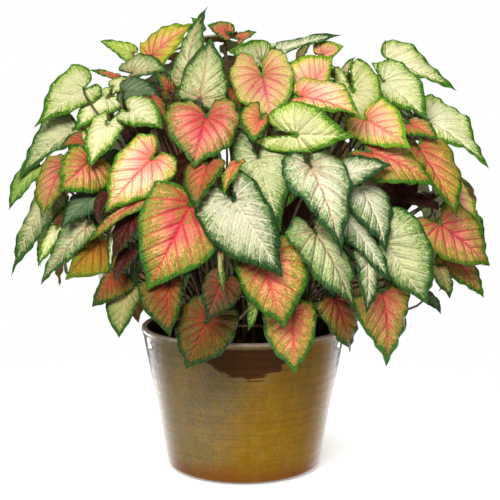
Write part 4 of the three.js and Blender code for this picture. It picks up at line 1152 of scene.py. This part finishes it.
def make_pot(material):
    """The pot turned from its profile."""
    profile = np.array(pot_profile(), float)
    turns = 2 * math.pi * np.arange(POT_SEGMENTS) / POT_SEGMENTS
    rings = profile[1:-1]
    across = [np.outer(rings[:, 0], np.cos(turns)), np.outer(rings[:, 0], np.sin(turns))]
    points = np.stack([*across, np.repeat(rings[:, 1:], POT_SEGMENTS, axis=1)], 2).reshape(-1, 3)
    points = np.vstack([points, [0, 0, profile[0, 1]], [0, 0, profile[-1, 1]]])
    part = {"points": points, "faces": closed_rings(len(rings), POT_SEGMENTS), "material": 0}
    return make_mesh("glazed_pot", [part], [material])


def soil_top(x, y):
    lumps = noise.noise(Vector((x * 0.09, y * 0.09, 3.0))) * 2.2
    crumbs = noise.noise(Vector((x * 0.3, y * 0.3, 9.0))) * 1.5
    far = math.hypot(x, y) / outer_radius(SOIL_TOP)
    return SOIL_TOP - 6 * far**6 + (lumps + crumbs)


def soil_chip(rng, edge):
    r, t = (edge - 5) * math.sqrt(rng.random()), 2 * math.pi * rng.random()
    x, y = r * math.cos(t), r * math.sin(t)
    size = rng.uniform(*CHIP_SIZES) * np.array([1, rng.uniform(0.5, 1), rng.uniform(0.3, 0.6)])
    corner = CHIP_CORNERS * rng.uniform(0.6, 1, (8, 3)) * size
    a = 2 * math.pi * rng.random()
    turn = np.array([[math.cos(a), -math.sin(a), 0], [math.sin(a), math.cos(a), 0], [0, 0, 1]])
    return {"points": corner @ turn.T + [x, y, soil_top(x, y)], "faces": CHIP_FACES, "material": 0}


def make_soil(material):
    """A filling with a crumbled top, and chips of bark and pumice lying in it."""
    edge = outer_radius(SOIL_TOP - 8) - POT_WALL - 0.6
    turns = 2 * math.pi * np.arange(SOIL_SEGMENTS) / SOIL_SEGMENTS
    points = []
    for z in SOIL_LEVELS:
        r = outer_radius(z) - POT_WALL - 1
        points += [[r * math.cos(t), r * math.sin(t), z] for t in turns]
    for i in range(SOIL_RINGS):
        r = edge * (1 - i / SOIL_RINGS)
        for t in turns:
            x, y = r * math.cos(t), r * math.sin(t)
            points.append([x, y, soil_top(x, y)])
    points += [[0, 0, SOIL_LEVELS[0]], [0, 0, soil_top(0, 0)]]
    faces = closed_rings(len(SOIL_LEVELS) + SOIL_RINGS, SOIL_SEGMENTS)
    body = {"points": np.array(points), "faces": faces, "material": 0}
    rng = np.random.default_rng(CHIP_SEED)
    return make_mesh("soil_filling", [body, *(soil_chip(rng, edge) for _ in range(CHIPS))], [material])


# ---------------------------------------------------------------- young leaves
# Small leaves fill the room that the large ones leave at the crown's sides, top and back. Each of a number
# of tries is a leaf at a random place, a little smaller from try to try, and it stays if it is clear of
# every blade and is hidden behind the leaves of the front.
YOUNG_TRIES, YOUNG_MOST, YOUNG_SEED, FIRST_YOUNG = 3000, 64, 5, 150
YOUNG_LENGTHS = (84, 46)
YOUNG_DEPTHS = (0.98, 0.9, 0.8, 0.7)
YOUNG_BEARINGS, YOUNG_DOWN, YOUNG_SWING = (-0.2, 1.2), (4, 112), (-0.5, 0.5)
YOUNG_SPREADS, YOUNG_SHARES = (6, 10), (0.4, 0.34)
YOUNG_ROOM = 8.5  # between a young blade and any other blade
STEM_ROOM = 4.0  # between its petiole and any blade
STEM_TESTS = (0.2, 0.35, 0.5, 0.62, 0.74, 0.84, 0.92)
LOWEST = SOIL_TOP + 30
HIDDEN_CELL = 7  # the side of a cell of the sheet, where a leaf of the front hides what is behind it
HIDDEN_ROOM = 12
HOLE_SHARE = 0.33  # how near to the axis a leaf's hole is, as a share of the leaf's own distance


def on_sheet(points):
    """The cells of the sheet where points are seen from EYE, and how far away they are."""
    sight = points - EYE
    far = sight @ AHEAD
    across = SHEET_FOCAL * sight[:, 0] / far
    up = SHEET_FOCAL * (sight @ ABOVE) / far
    return list(zip((across // HIDDEN_CELL).astype(int), (up // HIDDEN_CELL).astype(int))), far


def middle_of(part):
    """The upper half of a blade's points."""
    return part["points"][: len(part["points"]) // 2]


def blade_sample(leaf, pose):
    """Some points of a small blade, out to its margin."""
    outline = SMOOTH_PLAIN[::30]
    sides = np.repeat([-1.0, 1.0], len(outline))
    along, across, place = (np.tile(outline[:, i], 2) for i in range(3))
    shares = [np.full(len(along), share) for share in (0.3, 0.65, 1.0)]
    return np.concatenate([blade_points(leaf, pose, along, across, sides, place, share) for share in shares])


def young_leaf(rng, length, variety):
    bearing = math.pi * rng.uniform(*YOUNG_BEARINGS)
    down = math.radians(rng.uniform(*YOUNG_DOWN))
    scale = rng.choice(YOUNG_DEPTHS)
    out = np.array([math.cos(bearing), math.sin(bearing), 0])
    swing = rng.uniform(*YOUNG_SWING)
    looks = BACK_LOOKS[variety]
    look = looks[rng.integers(len(looks))]
    leaf = dome_leaf(look, out, down, scale, length, swing, YOUNG_SPREADS, YOUNG_SHARES)
    return leaf | quirks(iter(rng.random(6)))


def free_petiole(leaf, pose, hole, blades):
    """The curve of the petiole that keeps furthest from every blade, or none if each one touches."""
    curves = petiole_controls(petiole_end(leaf, pose), pose[4], hole, BENDS[::24])
    rooms = []
    for controls in curves:
        points = [curve_point(controls, share)[0] for share in STEM_TESTS]
        rooms.append(min(blades.find(point)[2] for point in points))
    best = int(np.argmax(rooms))
    return curves[best] if rooms[best] > STEM_ROOM else None


def add_young_leaves(shoots, front_parts, blades_so_far):
    rng = np.random.default_rng(YOUNG_SEED)
    nearest = {}
    for part in front_parts:
        for cell, far in zip(*on_sheet(middle_of(part))):
            nearest[cell] = min(far, nearest.get(cell, math.inf))
    placed = [np.concatenate(blades_so_far)]
    blades = tree_of(placed[0])
    holes = {name: hole_of(points) for name, points in SHOOT_NODES.items()}
    seed = FIRST_YOUNG
    for attempt in range(YOUNG_TRIES):
        length = np.interp(attempt / YOUNG_TRIES, (0, 1), YOUNG_LENGTHS)
        variety = (WHITE, PINK)[(seed - FIRST_YOUNG) % 2]
        leaf = young_leaf(rng, length, variety)
        pose = pose_of(leaf, 0, 0)
        points = blade_sample(leaf, pose)
        if points[:, 2].min() < LOWEST:
            continue
        if any(far < nearest.get(cell, math.inf) + HIDDEN_ROOM for cell, far in zip(*on_sheet(points))):
            continue
        if min(blades.find(point)[2] for point in points) < YOUNG_ROOM:
            continue
        own = [name for name in holes if name.startswith(variety)]
        owner = min(own, key=lambda name: np.linalg.norm(holes[name] - HOLE_SHARE * pose[0][:2]))
        controls = free_petiole(leaf, pose, holes[owner], blades)
        if controls is None:
            continue
        blade = blade_part(leaf, pose, seed, YOUNG_CELL)
        shoots[owner] += [blade, stem_part(controls, variety, seed)]
        placed.append(middle_of(blade))
        blades = tree_of(np.concatenate(placed))
        seed += 1
        if seed == FIRST_YOUNG + YOUNG_MOST:
            break


# ---------------------------------------------------------------- the plant
FIRST_SHEATH = 300


def grow():
    """Makes one piece for each shoot: its blades, its petioles and the sheath they stand in."""
    looks = [leaf_material(), stem_material()]
    owners = [name for name, points in SHOOT_NODES.items() for _ in points]
    tree = tree_of(np.concatenate(list(SHOOT_NODES.values())))
    leaves = [sheet_leaf(i, row) for i, row in enumerate(FRONT)]
    leaves += back_leaves()
    leaves += [sheet_leaf(len(FRONT) + i, row[1:], row[0]) for i, row in enumerate(CORE)]
    shoots = {name: [] for name in sorted(SHOOT_NODES)}
    front_parts, blades_so_far = [], []
    for seed, leaf in enumerate(leaves, 1):
        pose, owner = locate(leaf, tree, owners)
        if pose is None:
            continue
        controls = petiole_of(leaf, pose, SHOOT_NODES[owner])
        blade = blade_part(leaf, pose, seed)
        shoots[owner] += [blade, stem_part(controls, leaf["variety"], seed)]
        blades_so_far.append(middle_of(blade)[::2])
        if seed <= len(FRONT):
            front_parts.append(blade)
    add_young_leaves(shoots, front_parts, blades_so_far)
    for seed, (name, parts) in enumerate(shoots.items(), FIRST_SHEATH):
        variety = name.split("_")[0]
        parts.append(sheath_part(hole_of(SHOOT_NODES[name]), variety, seed))
        piece = make_mesh(f"{name}_leaves", parts, looks)
        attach(piece, "root")
        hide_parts(name)


grow()
pot = make_pot(glaze_material())
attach(pot, "root")
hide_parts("pot")
soil = make_soil(soil_material())
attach(soil, "root")
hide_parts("soil")

# ---------------------------------------------------------------- floor, light and camera
FLOOR_RADIUS, FLOOR_DROP, FLOOR_GREY = 0.85, 0.0004, (0.93, 0.93, 0.93)
FLOOR_FADE, FLOOR_GLOW = (0.3, 0.8), (0.12, 0.34, 0.4, 0.8)
WHITE_LIGHT, WARM_LIGHT, WORLD_STRENGTH = (1, 1, 1), (1, 0.945, 0.89), 0.12
# Each lamp: place and target in metres, size, watts and colour.
LAMPS = {
    "key": ((-0.6, -2.5, 2.0), (0, 0, 0.35), (1.5, 1.1), 119, WARM_LIGHT),
    "fill": ((1.5, -1.7, 1.2), (0, 0, 0.3), (1.2, 1.2), 9, WHITE_LIGHT),
    "strip_left": ((-0.54, 0.3, 0.09), (-0.12, 0.02, 0.13), (0.36, 0.16), 1.5, WHITE_LIGHT),
    "strip_right": ((0.54, 0.34, 0.09), (0.12, 0.02, 0.13), (0.36, 0.16), 1.4, WHITE_LIGHT),
    "back": ((0.3, 2.2, 1.9), (0, 0, 0.4), (1.6, 1.0), 18, WHITE_LIGHT),
}
LENS, SENSOR = 90, 36


def floor_disc():
    """A pale round floor that fades out, so that it has no edge."""
    s = Shader("floor")
    x, y, _ = s.split(s.place())
    far = s.length(x, y)
    s.set(Base_Color=FLOOR_GREY, Roughness=0.9, Specular_IOR_Level=0.0, Alpha=s.fade(far, *FLOOR_FADE))
    s.set(Emission_Color=WHITE_LIGHT, Emission_Strength=s.between(far, *FLOOR_GLOW))
    place = (0, 0, -FLOOR_DROP)
    bpy.ops.mesh.primitive_circle_add(vertices=96, radius=FLOOR_RADIUS, fill_type="NGON", location=place)
    disc = bpy.context.object
    disc.name = "floor"
    disc.data.materials.append(s.material)
    return disc


def add_lamp(name, place, target, size, power, colour):
    light = bpy.data.lights.new(name, "AREA")
    light.color = colour
    light.shape = "RECTANGLE"
    light.size, light.size_y = size
    light.energy = power
    lamp = bpy.data.objects.new(name, light)
    lamp.location = place
    lamp.rotation_euler = (Vector(target) - Vector(place)).to_track_quat("-Z", "Y").to_euler()
    bpy.context.scene.collection.objects.link(lamp)


def light_world(strength):
    """White behind everything, and a softer even light from all round."""
    world = bpy.data.worlds.new("studio")
    world.use_nodes = True
    nodes, links = world.node_tree.nodes, world.node_tree.links
    path = nodes.new("ShaderNodeLightPath")
    seen = nodes.new("ShaderNodeMath")
    seen.operation = "MULTIPLY_ADD"
    links.new(path.outputs["Is Camera Ray"], seen.inputs[0])
    seen.inputs[1].default_value = 1 - strength
    seen.inputs[2].default_value = strength
    nodes["Background"].inputs[0].default_value = (1, 1, 1, 1)
    links.new(seen.outputs[0], nodes["Background"].inputs[1])
    bpy.context.scene.world = world


floor_disc()
light_world(WORLD_STRENGTH)
for lamp_name, lamp_values in LAMPS.items():
    add_lamp(lamp_name, *lamp_values)

camera_data = bpy.data.cameras.new("camera")
camera_data.lens = LENS
camera_data.sensor_width = SENSOR
camera = bpy.data.objects.new("camera", camera_data)
camera.location = tuple(EYE * MM)
camera.rotation_euler = (math.radians(90) - SHEET_TILT, 0, 0)
bpy.context.scene.collection.objects.link(camera)
bpy.context.scene.camera = camera
bpy.context.scene.view_settings.view_transform = "Standard"
